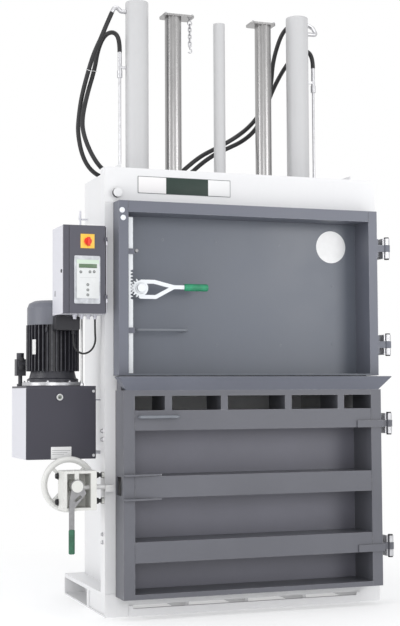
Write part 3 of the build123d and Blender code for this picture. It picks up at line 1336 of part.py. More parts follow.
# Hose routes, from the manifold to a cylinder port or to the top of a rod side pipe
HOSES = {
    "hose_left_outer": [
        (hose_left_end, PORT_YS[1], port_level), (-530.0, PORT_YS[1], port_level),
        (-610.0, 556.0, 2146.0), (-664.0, 556.0, 2222.0), (-692.0, 545.0, 2340.0),
        (-692.0, 528.0, 2420.0), (-683.0, 500.0, 2527.0), (-661.0, 455.0, 2643.0),
        (-643.0, 415.0, 2726.0), (-614.0, 385.0, 2798.0), (-590.0, 366.0, 2866.0),
        (-566.0, 350.0, 2926.0),
    ],
    "hose_left_inner": [
        (hose_left_end, PORT_YS[0], port_level), (-525.0, PORT_YS[0], port_level),
        (-590.0, 450.0, 2148.0), (-640.0, 445.0, 2208.0), (-683.0, 448.0, 2304.0),
        (-695.0, 455.0, 2389.0), (-663.0, 475.0, 2524.0), (-618.0, 492.0, 2663.0),
        (-600.0, 495.0, 2768.0), (-579.0, 450.0, 2834.0), (-548.0, 386.0, 2840.0),
        (-PIPE_X, PRESS_Y, 2792.0), (-PIPE_X, PRESS_Y, PIPE_TOP),
    ],
    "hose_right_outer": [
        (hose_right_end, PORT_YS[0], port_level), (-212.0, PORT_YS[0], port_level),
        (-140.0, 459.0, 2182.0), (-63.0, 452.0, 2246.0), (20.0, 450.0, 2290.0),
        (110.0, 450.0, 2340.0), (200.0, 451.0, 2406.0), (270.0, 453.0, 2488.0),
        (318.0, 456.0, 2570.0), (338.0, 459.0, 2655.0), (347.0, 461.0, 2760.0),
        (375.0, 464.0, 2860.0), (408.0, 463.0, 2938.0), (446.0, 455.0, 2976.0),
        (492.0, 434.0, 2980.0),
    ],
    "hose_right_inner": [
        (hose_right_end, PORT_YS[1], port_level), (-200.0, PORT_YS[1], port_level),
        (-110.0, 532.0, 2150.0), (-35.0, 502.0, 2222.0), (40.0, 488.0, 2274.0),
        (110.0, 483.0, 2306.0), (180.0, 480.0, 2342.0), (245.0, 479.0, 2396.0),
        (290.0, 480.0, 2466.0), (325.0, 483.0, 2555.0), (368.0, 488.0, 2650.0),
        (425.0, 494.0, 2748.0), (474.0, 462.0, 2822.0), (512.0, 412.0, 2842.0),
        (PIPE_X, PRESS_Y, 2790.0), (PIPE_X, PRESS_Y, PIPE_TOP),
    ],
}


def beyond(route, distance):
    """The point straight on from a hose's end."""
    end = Vector(*route[-1])
    toward = (end - Vector(*route[-2])).normalized()
    return tuple(end + toward * distance)


# The elbow of each cylinder's top port, from the hose end to the cylinder
ELBOW_RADIUS = 16.0
ELBOW_LEFT = [
    HOSES["hose_left_outer"][-1], beyond(HOSES["hose_left_outer"], 36.0),
    (-522.0, PRESS_Y, 2932.0), (-cylinder_side, PRESS_Y, 2932.0),
]
ELBOW_RIGHT = [
    HOSES["hose_right_outer"][-1], beyond(HOSES["hose_right_outer"], 30.0),
    (548.0, 385.0, 2950.0), (548.0, PRESS_Y, 2905.0), (cylinder_side, PRESS_Y, 2905.0),
]

# The motor cable hangs in one loop from its gland to the terminal box
MOTOR_CABLE = [
    (GLAND_XS[3], GLAND_Y, CABINET_LOW - GLAND_LENGTH), (GLAND_XS[3], GLAND_Y, 1315.0),
    (-728.0, 66.0, 1266.0), (-745.0, 74.0, 1226.0), (-783.0, 84.0, 1208.0),
    (-816.0, 96.0, 1228.0), (-826.0, 104.0, 1264.0), (-826.0, 104.0, TERMINAL_LOW - 16),
]

make_base()
make_frame()
make_press()
make_chain()
make_hinges()
make_upper_door()
make_lower_door()
make_latch()
make_lock()
make_power_unit()
make_cabinet()
make_hydraulics()
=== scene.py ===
"""Looks of the recycling baler: camera, finishes, cords, printed and small parts, floor, light."""
import math

import bmesh
import bpy
from mathutils import Matrix, Vector


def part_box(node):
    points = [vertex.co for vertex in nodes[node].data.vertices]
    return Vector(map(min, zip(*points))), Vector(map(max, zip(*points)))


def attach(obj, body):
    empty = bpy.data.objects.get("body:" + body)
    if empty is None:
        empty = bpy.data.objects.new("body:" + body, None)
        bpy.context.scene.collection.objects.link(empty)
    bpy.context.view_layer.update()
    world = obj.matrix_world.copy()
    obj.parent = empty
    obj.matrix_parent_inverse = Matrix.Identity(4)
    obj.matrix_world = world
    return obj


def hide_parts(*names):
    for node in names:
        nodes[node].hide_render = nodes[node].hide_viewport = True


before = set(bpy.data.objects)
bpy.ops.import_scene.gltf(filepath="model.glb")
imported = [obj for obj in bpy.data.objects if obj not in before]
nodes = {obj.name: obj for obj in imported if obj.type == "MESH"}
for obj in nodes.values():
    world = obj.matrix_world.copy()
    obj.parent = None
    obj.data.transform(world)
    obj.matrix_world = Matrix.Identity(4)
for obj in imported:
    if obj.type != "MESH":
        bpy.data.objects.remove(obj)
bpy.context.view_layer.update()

scene = bpy.context.scene
finishes = {}

# Camera: place in metres, angles in degrees, lens and sensor in millimetres.
CAMERA_PLACE = (-2.341, -5.894, 1.035)
CAMERA_AZIMUTH = 19.679
CAMERA_TILT = 3.392
CAMERA_ROLL = -0.291
CAMERA_LENS = 75.78
CAMERA_SENSOR = 36
CAMERA_NEAR = 0.1
CAMERA_FAR = 100

# Faces that meet at more than this many degrees keep a sharp edge.
NODE_SHARP = 28
PIECE_SHARP = 30

MILL = 0.001

# Cord routes, in metres, the same points as the CAD tubes follow.
HOSE_DIAMETER = 0.0225
CABLE_DIAMETER = 0.009
# How smooth the cords are: the curve's order, its steps between points, its round section.
CORD_ORDER = 3
CORD_STEPS = 12
CORD_ROUND = 6
ROUTES = {
    "hose_left_outer": [
        (-0.454, 0.550, 2.115), (-0.530, 0.550, 2.115), (-0.610, 0.556, 2.146),
        (-0.664, 0.556, 2.222), (-0.692, 0.545, 2.340), (-0.692, 0.528, 2.420),
        (-0.683, 0.500, 2.527), (-0.661, 0.455, 2.643), (-0.643, 0.415, 2.726),
        (-0.614, 0.385, 2.798), (-0.590, 0.366, 2.866), (-0.566, 0.350, 2.926),
    ],
    "hose_left_inner": [
        (-0.454, 0.465, 2.115), (-0.525, 0.465, 2.115), (-0.590, 0.450, 2.148),
        (-0.640, 0.445, 2.208), (-0.683, 0.448, 2.304), (-0.695, 0.455, 2.389),
        (-0.663, 0.475, 2.524), (-0.618, 0.492, 2.663), (-0.600, 0.495, 2.768),
        (-0.579, 0.450, 2.834), (-0.548, 0.386, 2.840), (-0.528, 0.346, 2.792),
        (-0.528, 0.346, 2.725),
    ],
    "hose_right_outer": [
        (-0.266, 0.465, 2.115), (-0.212, 0.465, 2.115), (-0.140, 0.459, 2.182),
        (-0.063, 0.452, 2.246), (0.020, 0.450, 2.290), (0.110, 0.450, 2.340),
        (0.200, 0.451, 2.406), (0.270, 0.453, 2.488), (0.318, 0.456, 2.570),
        (0.338, 0.459, 2.655), (0.347, 0.461, 2.760), (0.375, 0.464, 2.860),
        (0.408, 0.463, 2.938), (0.446, 0.455, 2.976), (0.492, 0.434, 2.980),
    ],
    "hose_right_inner": [
        (-0.266, 0.550, 2.115), (-0.200, 0.550, 2.115), (-0.110, 0.532, 2.150),
        (-0.035, 0.502, 2.222), (0.040, 0.488, 2.274), (0.110, 0.483, 2.306),
        (0.180, 0.480, 2.342), (0.245, 0.479, 2.396), (0.290, 0.480, 2.466),
        (0.325, 0.483, 2.555), (0.368, 0.488, 2.650), (0.425, 0.494, 2.748),
        (0.474, 0.462, 2.822), (0.512, 0.412, 2.842), (0.528, 0.346, 2.790),
        (0.528, 0.346, 2.725),
    ],
    "motor_cable": [
        (-0.733, 0.060, 1.372), (-0.733, 0.060, 1.315), (-0.728, 0.066, 1.266),
        (-0.745, 0.074, 1.226), (-0.783, 0.084, 1.208), (-0.816, 0.096, 1.228),
        (-0.826, 0.104, 1.264), (-0.826, 0.104, 1.306),
    ],
}

# The paint's patterns: roughly how many fit in a metre, their detail and their roughness.
CLOUDS = (2.6, 5, 0.6)
SPECKS = (60, 3, 0.5)
STREAKS = (7, 4, 0.6)
STREAK_STRETCH = (5, 5, 0.5)
CHIPS = (34, 5, 0.65)
PEEL = (420, 2, 0.5)
DENTS = (5, 2, 0.4)
# How far a pattern shows, and how much of the paint's brightness it leaves.
SPECK_SHARE = 0.25
SPECK_TONE = 0.94
STREAK_SHARE = 0.18
STREAK_TONE = 0.86
# Painted shade in corners and pockets leaves this share of the paint's brightness.
CORNER_SHADE_TONE = 0.45
BRIGHTEST_PAINT = 0.9
# Worn edges and painted shade in corners: the edges' radius, and the values that count as none and
# full.
EDGE_RADIUS = 0.003
EDGE_LIMITS = (0.004, 0.05)
CORNER_LIMITS = (0.15, 0.85)

# The cabinet box has a dark strip in front of and left of these, in metres.
STRIP_BACK = -0.0425
STRIP_RIGHT = -0.8855

# The lock's dark stud threads, in metres: heights, front limit and left limit. Then the
# thread's waves, in radians per metre.
THREAD_HEIGHTS = ((0.520, 0.546), (0.638, 0.664))
THREAD_FRONT = 0.012
THREAD_LEFT = -0.7515
# The waves are painted shade in the thread's grooves.
THREAD_WAVES = 3300

# Bare name plate on the crosshead: its limits, its two splits and its dark border, in metres.
PLATE_LEFT = -0.541
PLATE_RIGHT = -0.075
PLATE_LOW = 1.967
PLATE_HIGH = 2.048
PLATE_SPLIT_LEFT = -0.401
PLATE_SPLIT_RIGHT = -0.189
PLATE_FRONT = -0.0018
PLATE_BACK = 0.0002
BORDER = 0.0025

# Keys on the keypad, X and Z in millimetres. The first three carry flat symbols and the last
# three upright ones, of this half length and half thickness.
KEY_PLACES = ((-832, 1582), (-789, 1583), (-769, 1584), (-799, 1524), (-799, 1500), (-799, 1477))
FLAT_KEYS = 3
KEY_SYMBOL = (3.2, 0.9)

# Places on the machine that several small parts share, in millimetres.
MOTOR_X = -881
MOTOR_Y = 286
RING_TOP = 1081
CYLINDER_X = 438
CYLINDER_Y = 346
FLANGE_TOP = 2105
MANIFOLD_TOP = 2141
GUIDE_PLATE_TOP = 2933
STUD_Y = 22
STUD_HEIGHTS = (533, 651)
PANEL_FRONT = 55
PANEL_DIMPLES = (
    (-401, 1757), (-131, 1756), (201, 1752), (489, 1553), (206, 1258), (485, 1264), (-128, 1256),
)
# The lower door's beams, low and high, and the webs of its top rail.
LOWER_BEAMS = ((857, 948), (551, 648), (258, 352))
LOWER_WEBS = (-437, -162, 162, 437)
# The first bolt of a ring stands at this angle, in radians.
RING_START = 0.39

# The sight glass on the tank's cover and the drain pipe beside the tank, in metres.
SIGHT_CENTRE = (-0.889, 0.1062, 1.010)
SIGHT_RADIUS = 0.0125
SIGHT_WIRE = 0.0034
DRAIN_PLACE = (-0.773, 0.150, 1.0615)
DRAIN_STEP = 0.045
DRAIN_POINTS = 8
DRAIN_RADIUS = 0.0055

# The hose tie, in metres: the middles of the two left hoses where it sits, their direction,
# its own radius, its gap to the hoses, and how many points each end's half round has.
TIE_ENDS = ((-0.6585, 0.4500, 2.6520), (-0.6205, 0.4915, 2.6560))
TIE_ALONG = (0.18, -0.386, 0.905)
TIE_RADIUS = 0.0016
TIE_GAP = 0.0022
TIE_POINTS = 24

# The bare plate on the motor's fins: its direction from the axis in degrees, then its
# distance, its height and its sizes in metres.
MOTOR_PLATE_ANGLE = 213
MOTOR_PLATE_OUT = 0.1262
MOTOR_PLATE_HEIGHT = 1.247
MOTOR_PLATE_SIZE = (0.022, 0.0016, 0.070)

# Seeds of the bolts' turns and of the weld beads' sizes.
BOLT_SEED = 7
WELD_SEED = 3

# Floor and surroundings, in metres. The floor turns white between the two ring limits.
FLOOR_HALF = 30
FLOOR_TONES = ((0.80, 0.80, 0.80), (0.84, 0.84, 0.84))
FLOOR_GLOW = 0.32
RING_MIDDLE = (-0.15, 0.3)
RING_LIMITS = (1.1, 2.6)
AMBIENT_COLOUR = (0.97, 0.98, 1.0)
AMBIENT_STRENGTH = 0.62
WHITE = (1, 1, 1)
# Each lamp: name, place, aim, width and height in metres, power in watts.
LAMPS = (
    ("key_light", (3.6, -5.8, 2.6), (0.3, 0, 1.4), 2.6, 2.6, 98),
    ("front_light", (-2.4, -6.4, 2.0), (-0.2, 0, 1.2), 2.6, 2.6, 76),
    ("left_light", (-5.6, -0.6, 2.5), (-0.7, 0.3, 1.4), 2.4, 3.0, 74),
    ("top_light", (-0.6, -0.4, 6.2), (-0.2, 0.2, 1.5), 3.6, 3.0, 55),
)

# Which nodes of the machine have which finish. The cords' nodes have pieces of their own.
FINISHED_NODES = {
    "frame_white": (
        "base_floor_plate", "base_feet", "base_front_beam", "post_left", "post_right",
        "side_wall_left", "side_wall_right", "back_wall", "crosshead_front_beam", "deck_plate",
    ),
    "cylinder_white": ("cylinder_left", "cylinder_right", "centre_tube", "hose_manifold"),
    "zinc": (
        "piston_rods", "chain", "hinge_brackets", "motor_ring", "rod_side_pipes", "port_elbows",
    ),
    "guide_steel": ("guide_tubes",),
    "dark_steel": ("hinge_pins",),
    "bolt_light": ("draw_bolt",),
    "dull_steel": ("release_lever",),
    "upper_grey": ("platen", "upper_door_frame", "latch_guides", "lower_door_lip"),
    "panel_grey": ("upper_door_panel",),
    "handle_grey_painted_highlight": ("upper_door_handle", "lower_door_handle"),
    "latch_white": ("latch_bar", "latch_lever"),
    "lower_grey": ("lower_door_stiles", "lower_door_beams", "lower_door_top_rail"),
    "low_panel_grey": ("lower_door_panel",),
    "lock_white": ("lock_cage",),
    "wheel_grey": ("hand_wheel",),
    "box_light": ("oil_tank", "cabinet_conduit"),
    "cover_dark": ("tank_cover", "tank_lid"),
    "motor_dark": ("motor_housing", "valve_block"),
    "cowl_grey": ("motor_cowl",),
    "terminal_black": ("terminal_box",),
    "cabinet_light": ("cabinet_box",),
    "cabinet_dark": ("cabinet_door",),
    "bumper_black": ("motor_fan",),
    "grip_green": ("latch_grip",),
    "grip_green_low": ("release_grip",),
    "key_white": ("keypad",),
    "knob_red": ("switch_knob",),
    "board_green": ("cabinet_board",),
}


def millimetres(*values):
    return tuple(value * MILL for value in values)


def make_camera():
    azimuth = math.radians(CAMERA_AZIMUTH)
    tilt = math.radians(CAMERA_TILT)
    roll = math.radians(CAMERA_ROLL)
    forward = Vector(
        (math.sin(azimuth) * math.cos(tilt), math.cos(azimuth) * math.cos(tilt), math.sin(tilt))
    )
    right = Vector((math.cos(azimuth), -math.sin(azimuth), 0))
    up = right.cross(forward)
    right_rolled = math.cos(roll) * right + math.sin(roll) * up
    up_rolled = -math.sin(roll) * right + math.cos(roll) * up
    data = bpy.data.cameras.new("camera")
    data.lens = CAMERA_LENS
    data.sensor_width = CAMERA_SENSOR
    data.sensor_fit = "AUTO"
    data.clip_start = CAMERA_NEAR
    data.clip_end = CAMERA_FAR
    camera = bpy.data.objects.new("camera", data)
    scene.collection.objects.link(camera)
    turn = Matrix((right_rolled, up_rolled, -forward)).transposed()
    camera.matrix_world = Matrix.Translation(CAMERA_PLACE) @ turn.to_4x4()
    scene.camera = camera


make_camera()


class Wire:
    """A socket in a node tree, so that the maths of a tree reads as plain sums."""

    def __init__(self, tree, socket):
        self.tree = tree
        self.socket = socket

    def _maths(self, operation, *values):
        node = self.tree.nodes.new("ShaderNodeMath")
        node.operation = operation
        for place, value in enumerate(values):
            feed(self.tree, node.inputs[place], value)
        return Wire(self.tree, node.outputs[0])

    def __add__(self, other):
        return self._maths("ADD", self, other)

    def __radd__(self, other):
        return self._maths("ADD", other, self)

    def __sub__(self, other):
        return self._maths("SUBTRACT", self, other)

    def __rsub__(self, other):
        return self._maths("SUBTRACT", other, self)

    def __mul__(self, other):
        return self._maths("MULTIPLY", self, other)

    def __rmul__(self, other):
        return self._maths("MULTIPLY", other, self)

    def __truediv__(self, other):
        return self._maths("DIVIDE", self, other)

    def power(self, other):
        return self._maths("POWER", self, other)

    def above(self, other):
        return self._maths("GREATER_THAN", self, other)

    def below(self, other):
        return self._maths("LESS_THAN", self, other)

    def sine(self):
        return self._maths("SINE", self)

    def largest(self, other):
        return self._maths("MAXIMUM", self, other)

    def between(self, low, high):
        return self.above(low) * self.below(high)

    def spread(self, from_low, from_high, to_low=0.0, to_high=1.0):
        """The value moved from one range to another, and kept inside the second."""
        node = add_node(
            self.tree, "ShaderNodeMapRange", {"clamp": True}, Value=self, From_Min=from_low,
            From_Max=from_high, To_Min=to_low, To_Max=to_high,
        )
        return Wire(self.tree, node.outputs[0])


def feed(tree, socket, value):
    """Links a wire or another node's socket to this socket, or gives it a plain value."""
    if isinstance(value, Wire):
        value = value.socket
    if isinstance(value, bpy.types.NodeSocket):
        tree.links.new(value, socket)
        return
    if socket.type == "RGBA" and len(value) == 3:
        value = (*value, 1)
    socket.default_value = value


def add_node(tree, kind, settings=None, **values):
    """A node with its settings, which come first, and the values or links of its sockets."""
    node = tree.nodes.new(kind)
    for name, value in (settings or {}).items():
        setattr(node, name, value)
    for name, value in values.items():
        feed(tree, node.inputs[name.replace("_", " ")], value)
    return node


def linear(colour):
    """A colour picked on screen, 0 to 255, as the shader's own values."""
    values = []
    for part in colour:
        part = part / 255
        values.append(part / 12.92 if part <= 0.04045 else ((part + 0.055) / 1.055) ** 2.4)
    return tuple(values)


def shaded(colour, share):
    return tuple(part * share for part in colour)


class Finish:
    """One material's tree with its shader, its object coordinates and its helpers."""

    def __init__(self, name, slot=None):
        self.material = bpy.data.materials.new(name)
        self.material.use_nodes = True
        self.tree = self.material.node_tree
        self.tree.nodes.clear()
        self.slot = slot
        self.output = self.tree.nodes.new("ShaderNodeOutputMaterial")
        self.shader = self.tree.nodes.new("ShaderNodeBsdfPrincipled")
        self.tree.links.new(self.shader.outputs[0], self.output.inputs["Surface"])
        self.place = self.node("ShaderNodeTexCoord", out="Object")
        finishes[name] = self

    def node(self, kind, settings=None, out=0, **values):
        return Wire(self.tree, add_node(self.tree, kind, settings, **values).outputs[out])

    def stretch(self, scale):
        return self.node("ShaderNodeMapping", Vector=self.place, Scale=scale)

    def noise(self, scale, detail, rough, place=None):
        return self.node(
            "ShaderNodeTexNoise", Vector=place or self.place, Scale=scale, Detail=detail,
            Roughness=rough,
        )

    def axes(self):
        node = self.tree.nodes.new("ShaderNodeSeparateXYZ")
        feed(self.tree, node.inputs[0], self.place)
        return [Wire(self.tree, out) for out in node.outputs]

    def mix(self, share, first, second):
        """The first colour where share is 0 and the second where it is 1."""
        node = add_node(self.tree, "ShaderNodeMix", {"data_type": "RGBA"})
        feed(self.tree, node.inputs[0], share)
        feed(self.tree, node.inputs[6], first)
        feed(self.tree, node.inputs[7], second)
        return Wire(self.tree, node.outputs[2])

    def edges(self):
        """1 on worn edges and 0 on flat faces, from the bevelled and the true normal."""
        bevel = self.node("ShaderNodeBevel", {"samples": 4}, Radius=EDGE_RADIUS)
        true_normal = self.node("ShaderNodeNewGeometry", out="Normal")
        agree = add_node(self.tree, "ShaderNodeVectorMath", {"operation": "DOT_PRODUCT"})
        feed(self.tree, agree.inputs[0], bevel)
        feed(self.tree, agree.inputs[1], true_normal)
        return (1 - Wire(self.tree, agree.outputs["Value"])).spread(*EDGE_LIMITS)

    def corners(self, reach):
        """1 deep in corners and pockets, 0 in the open: the mask of the painted shade."""
        open_share = self.node(
            "ShaderNodeAmbientOcclusion", {"samples": 6}, out="AO", Distance=reach
        )
        return 1 - open_share.spread(*CORNER_LIMITS)

    def bump(self, height, strength, distance):
        return self.node("ShaderNodeBump", Strength=strength, Distance=distance, Height=height)

    def set(self, **values):
        """Values or wires for the shader's own sockets."""
        for name, value in values.items():
            feed(self.tree, self.shader.inputs[name.replace("_", " ")], value)

    def repaint(self, mask, colour):
        """Another colour over the base colour, where the mask is 1."""
        under = Wire(self.tree, self.shader.inputs["Base Color"].links[0].from_socket)
        self.set(Base_Color=self.mix(mask, under, colour))


def paint(
    name, colour, slot, roughness, variation, peel, wear, bare=(150, 150, 152), grime_and_corner_shade=0.14,
    reach=0.12,
):
    """Powder paint on steel: faint clouds, orange peel, painted shade in corners, thin wear on
    edges.
    """
    finish = Finish(name, slot)
    base = linear(colour)
    darker = shaded(base, 1 - variation * 2.2)
    lighter = tuple(min(BRIGHTEST_PAINT, part) for part in shaded(base, 1 + variation))
    clouds = finish.noise(*CLOUDS)
    specks = finish.noise(*SPECKS).spread(0.55, 0.8)
    streaks = finish.noise(*STREAKS, place=finish.stretch(STREAK_STRETCH)).spread(0.58, 0.75)
    worn = finish.edges() * finish.noise(*CHIPS).spread(0.42, 0.6) * wear
    tint = finish.mix(clouds.spread(0.3, 0.7), darker, lighter)
    tint = finish.mix(specks * SPECK_SHARE, tint, shaded(base, SPECK_TONE))
    tint = finish.mix(streaks * STREAK_SHARE, tint, shaded(base, STREAK_TONE))
    # Painted shade: darker in corners and pockets, where ambient occlusion finds them.
    tint = finish.mix(finish.corners(reach) * grime_and_corner_shade, tint, shaded(base, CORNER_SHADE_TONE))
    tint = finish.mix(worn, tint, linear(bare))
    height = finish.noise(*PEEL) * peel + finish.noise(*DENTS) * 0.9
    gloss = clouds.spread(0.3, 0.7, roughness - 0.06, roughness + 0.08) - worn * 0.1
    finish.set(
        Base_Color=tint, Roughness=gloss, Metallic=worn * 0.7,
        Normal=finish.bump(height, 0.25, 0.0012), Specular_IOR_Level=0.45,
    )
    return finish


def steel(name, colour, roughness, drawn=False, metallic=1.0):
    """Bright or zinc-plated steel, with fine upright lines where it is drawn tube."""
    finish = Finish(name, "bright_steel")
    base = linear(colour)
    lines = finish.noise(6, 4, 0.7, place=finish.stretch((60, 60, 0.6) if drawn else (9, 9, 9)))
    stains = finish.noise(9, 5, 0.6)
    tint = finish.mix(lines.spread(0.35, 0.65), shaded(base, 0.82), base)
    tint = finish.mix(stains.spread(0.56, 0.75) * 0.3, tint, shaded(base, 0.68))
    finish.set(
        Base_Color=tint, Metallic=metallic,
        Roughness=lines.spread(0.3, 0.7, roughness - 0.06, roughness + 0.12),
        Normal=finish.bump(lines * 0.5 + stains * 0.5, 0.15, 0.0006),
    )


def rubber(name, colour, slot, roughness, ribs=None):
    """Rubber or plastic with a fine grain, and with ribs across one axis where it is a grip."""
    finish = Finish(name, slot)
    base = linear(colour)
    grime_and_corner_shade = finish.noise(22, 5, 0.6)
    dusty = tuple(min(1, part * 1.7 + 0.004) for part in base)
    height = finish.noise(700, 2, 0.5) * 0.4 + grime_and_corner_shade * 0.3
    if ribs:
        along = finish.axes()["xyz".index(ribs)]
        height = height + (along * 700).sine() * 0.5
    finish.set(
        Base_Color=finish.mix(grime_and_corner_shade.spread(0.35, 0.7), base, dusty),
        Roughness=grime_and_corner_shade.spread(0.3, 0.7, roughness - 0.08, roughness + 0.14),
        Normal=finish.bump(height, 0.3, 0.0006),
    )


def cabinet_paint(name, light, dark):
    """Light sides with a dark front strip, split by place."""
    finish = paint(name, light, "light_grey_paint", 0.4, 0.012, 0.14, 0.3, (180, 180, 182))
    x, y, z = finish.axes()
    tone = finish.noise(3, 4, 0.6).spread(0.3, 0.7)
    finish.repaint(
        y.below(STRIP_BACK) * x.below(STRIP_RIGHT),
        finish.mix(tone, shaded(linear(dark), 0.9), linear(dark)),
    )


def lock_paint(name):
    """White paint on the lock's cage, with the ends of the bare threaded studs left dark."""
    finish = paint(
        name, (220, 220, 216), "light_grey_paint", 0.42, 0.03, 0.2, 0.8, (150, 150, 148)
    )
    x, y, z = finish.axes()
    low, high = THREAD_HEIGHTS
    studs = (z.between(*low) + z.between(*high)) * y.above(THREAD_FRONT) * x.above(THREAD_LEFT)
    # Painted shade: darker stripes in the thread's grooves, over the studs' own dark colour.
    thread = ((x * THREAD_WAVES).sine() * 0.5 + 0.5) * 0.6
    finish.repaint(studs, finish.mix(thread, linear((70, 70, 72)), linear((38, 38, 40))))


def printed(name, base, fields=(), roughness=0.4, clear=0.0):
    """A printed face. Each field is its limits on X and Z, in metres, and its colour."""
    finish = Finish(name)
    x, y, z = finish.axes()
    tone = finish.noise(40, 4, 0.5).spread(0.3, 0.7)
    tint = finish.mix(tone, shaded(linear(base), 0.95), linear(base))
    for left, right, low, high, colour in fields:
        tint = finish.mix(x.between(left, right) * z.between(low, high), tint, linear(colour))
    grime_and_corner_shade = finish.noise(12, 4, 0.6)
    finish.set(
        Base_Color=tint, Roughness=grime_and_corner_shade.spread(0.3, 0.7, roughness - 0.05, roughness + 0.08),
        Normal=finish.bump(finish.noise(300, 2, 0.5), 0.06, 0.0004), Coat_Weight=clear,
    )


def make_paints():
    """Paints: colour, slot, roughness, variation, orange peel, edge wear, worn colour."""
    worn_light = (190, 190, 192)
    worn_tube = (180, 180, 182)
    worn_warm = (150, 150, 148)
    worn_dark = (120, 120, 122)
    grey = "grey_paint"
    pale = "light_grey_paint"
    cabinet_paint("cabinet_light", (212, 212, 219), (80, 80, 90))
    paint(
        "frame_white", (233, 233, 234), "white_paint", 0.40, 0.012, 0.12, 0.25, worn_light,
        grime_and_corner_shade=0.2,
    )
    paint("cylinder_white", (200, 200, 201), "white_paint", 0.36, 0.014, 0.1, 0.2, worn_tube)
    lock_paint("lock_white")
    paint("wheel_grey", (224, 224, 221), pale, 0.40, 0.03, 0.2, 0.8, worn_warm)
    # The doors' greys carry strong painted shade in their corners and pockets.
    paint("upper_grey", (105, 108, 119), grey, 0.38, 0.035, 0.14, 0.6, grime_and_corner_shade=0.5, reach=0.2)
    paint("lower_grey", (100, 101, 108), grey, 0.38, 0.04, 0.14, 0.6, grime_and_corner_shade=0.45, reach=0.2)
    paint("panel_grey", (103, 108, 118), grey, 0.34, 0.035, 0.14, 0.5, grime_and_corner_shade=0.35, reach=0.1)
    paint("low_panel_grey", (115, 115, 125), grey, 0.36, 0.045, 0.14, 0.5, grime_and_corner_shade=0.35, reach=0.1)
    paint("box_light", (214, 214, 221), pale, 0.4, 0.012, 0.14, 0.3, worn_tube)
    paint("cabinet_dark", (80, 80, 90), "mid_paint", 0.42, 0.025, 0.16, 0.4)
    paint("cover_dark", (54, 53, 64), "dark_paint", 0.44, 0.03, 0.16, 0.4, worn_dark)
    paint("motor_dark", (54, 54, 61), "dark_paint", 0.45, 0.05, 0.3, 0.5, worn_dark)
    paint("terminal_black", (30, 30, 36), "dark_paint", 0.5, 0.05, 0.3, 0.4, (110, 110, 112))
    # The handles are the doors' grey paint, painted lighter as a highlight.
    paint("handle_grey_painted_highlight", (122, 126, 133), grey, 0.3, 0.03, 0.05, 0.7, (170, 170, 172))
    paint("cowl_grey", (106, 108, 117), "mid_paint", 0.40, 0.03, 0.2, 0.4)
    paint("latch_white", (236, 239, 244), "white_paint", 0.38, 0.02, 0.14, 0.8)


def make_metals_and_plastics():
    steel("guide_steel", (168, 167, 167), 0.26, drawn=True)
    steel("bolt_light", (214, 214, 214), 0.45, metallic=0.35)
    steel("dark_steel", (66, 66, 68), 0.42)
    steel("zinc", (205, 205, 208), 0.34)
    steel("dull_steel", (150, 150, 152), 0.42)
    rubber("grip_green", (38, 128, 92), "green_grip", 0.5, "x")
    rubber("grip_green_low", (40, 88, 66), "green_grip", 0.5, "z")
    rubber("knob_red", (206, 52, 34), "red_plastic", 0.36)
    rubber("hose_black", (24, 24, 26), "black_rubber", 0.5)
    rubber("bumper_black", (52, 52, 54), "black_rubber", 0.6)
    rubber("key_white", (172, 174, 178), "light_grey_paint", 0.45)
    rubber("board_green", (28, 92, 60), "green_grip", 0.45)


def make_prints():
    low = PLATE_LOW + BORDER
    high = PLATE_HIGH - BORDER
    printed(
        "plate_print", (70, 78, 80),
        (
            (PLATE_LEFT + BORDER, PLATE_SPLIT_LEFT, low, high, (240, 238, 238)),
            (PLATE_SPLIT_LEFT, PLATE_SPLIT_RIGHT, low, high, (20, 44, 36)),
            (PLATE_SPLIT_RIGHT, PLATE_RIGHT - BORDER, low, high, (240, 240, 240)),
        ),
        roughness=0.5,
    )
    printed("disc_print", (240, 240, 240), clear=0.2)
    printed("switch_yellow", (247, 201, 75), roughness=0.35)
    printed(
        "label_print", (222, 222, 222),
        (
            (-0.925, -0.838, 0.7615, 0.7645, (150, 150, 152)),
            (-0.925, -0.852, 0.7525, 0.7550, (160, 160, 162)),
            (-0.925, -0.868, 0.7445, 0.7470, (160, 160, 162)),
        ),
        clear=0.2,
    )
    printed(
        "display_print", (92, 116, 88), ((-0.838, -0.759, 1.6035, 1.6045, (70, 92, 68)),), clear=0.1
    )
    printed("dark_detail", (40, 40, 44), roughness=0.5)
    printed("glass_green", (120, 128, 118), roughness=0.12, clear=1.0)
    printed(
        "pad_print", (222, 224, 224),
        (
            (-0.851, -0.746, 1.6205, 1.6390, (206, 222, 206)),
            (-0.838, -0.760, 1.5560, 1.5575, (196, 198, 198)),
        ),
    )
    printed("symbol_grey", (120, 124, 122))


make_paints()
make_metals_and_plastics()
make_prints()


def shade_smooth(mesh, sharp=None):
    """Smooth faces, with sharp edges above an angle where one is given."""
    for polygon in mesh.polygons:
        polygon.use_smooth = True
    if sharp:
        mesh.set_sharp_from_angle(angle=math.radians(sharp))


def finish_nodes():
    """Gives each node of the machine its finish."""
    for finish_name, node_names in FINISHED_NODES.items():
        material = finishes[finish_name].material
        for node_name in node_names:
            mesh = nodes[node_name].data
            if not mesh.materials:
                mesh.materials.append(material)
            for place in range(len(mesh.materials)):
                mesh.materials[place] = material
            shade_smooth(mesh, NODE_SHARP)


finish_nodes()


def put(name, mesh_or_curve, finish_name, body):
    """A piece with its finish, which moves with one body."""
    piece = bpy.data.objects.new(name, mesh_or_curve)
    scene.collection.objects.link(piece)
    mesh_or_curve.materials.append(finishes[finish_name].material)
    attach(piece, body)
    return piece


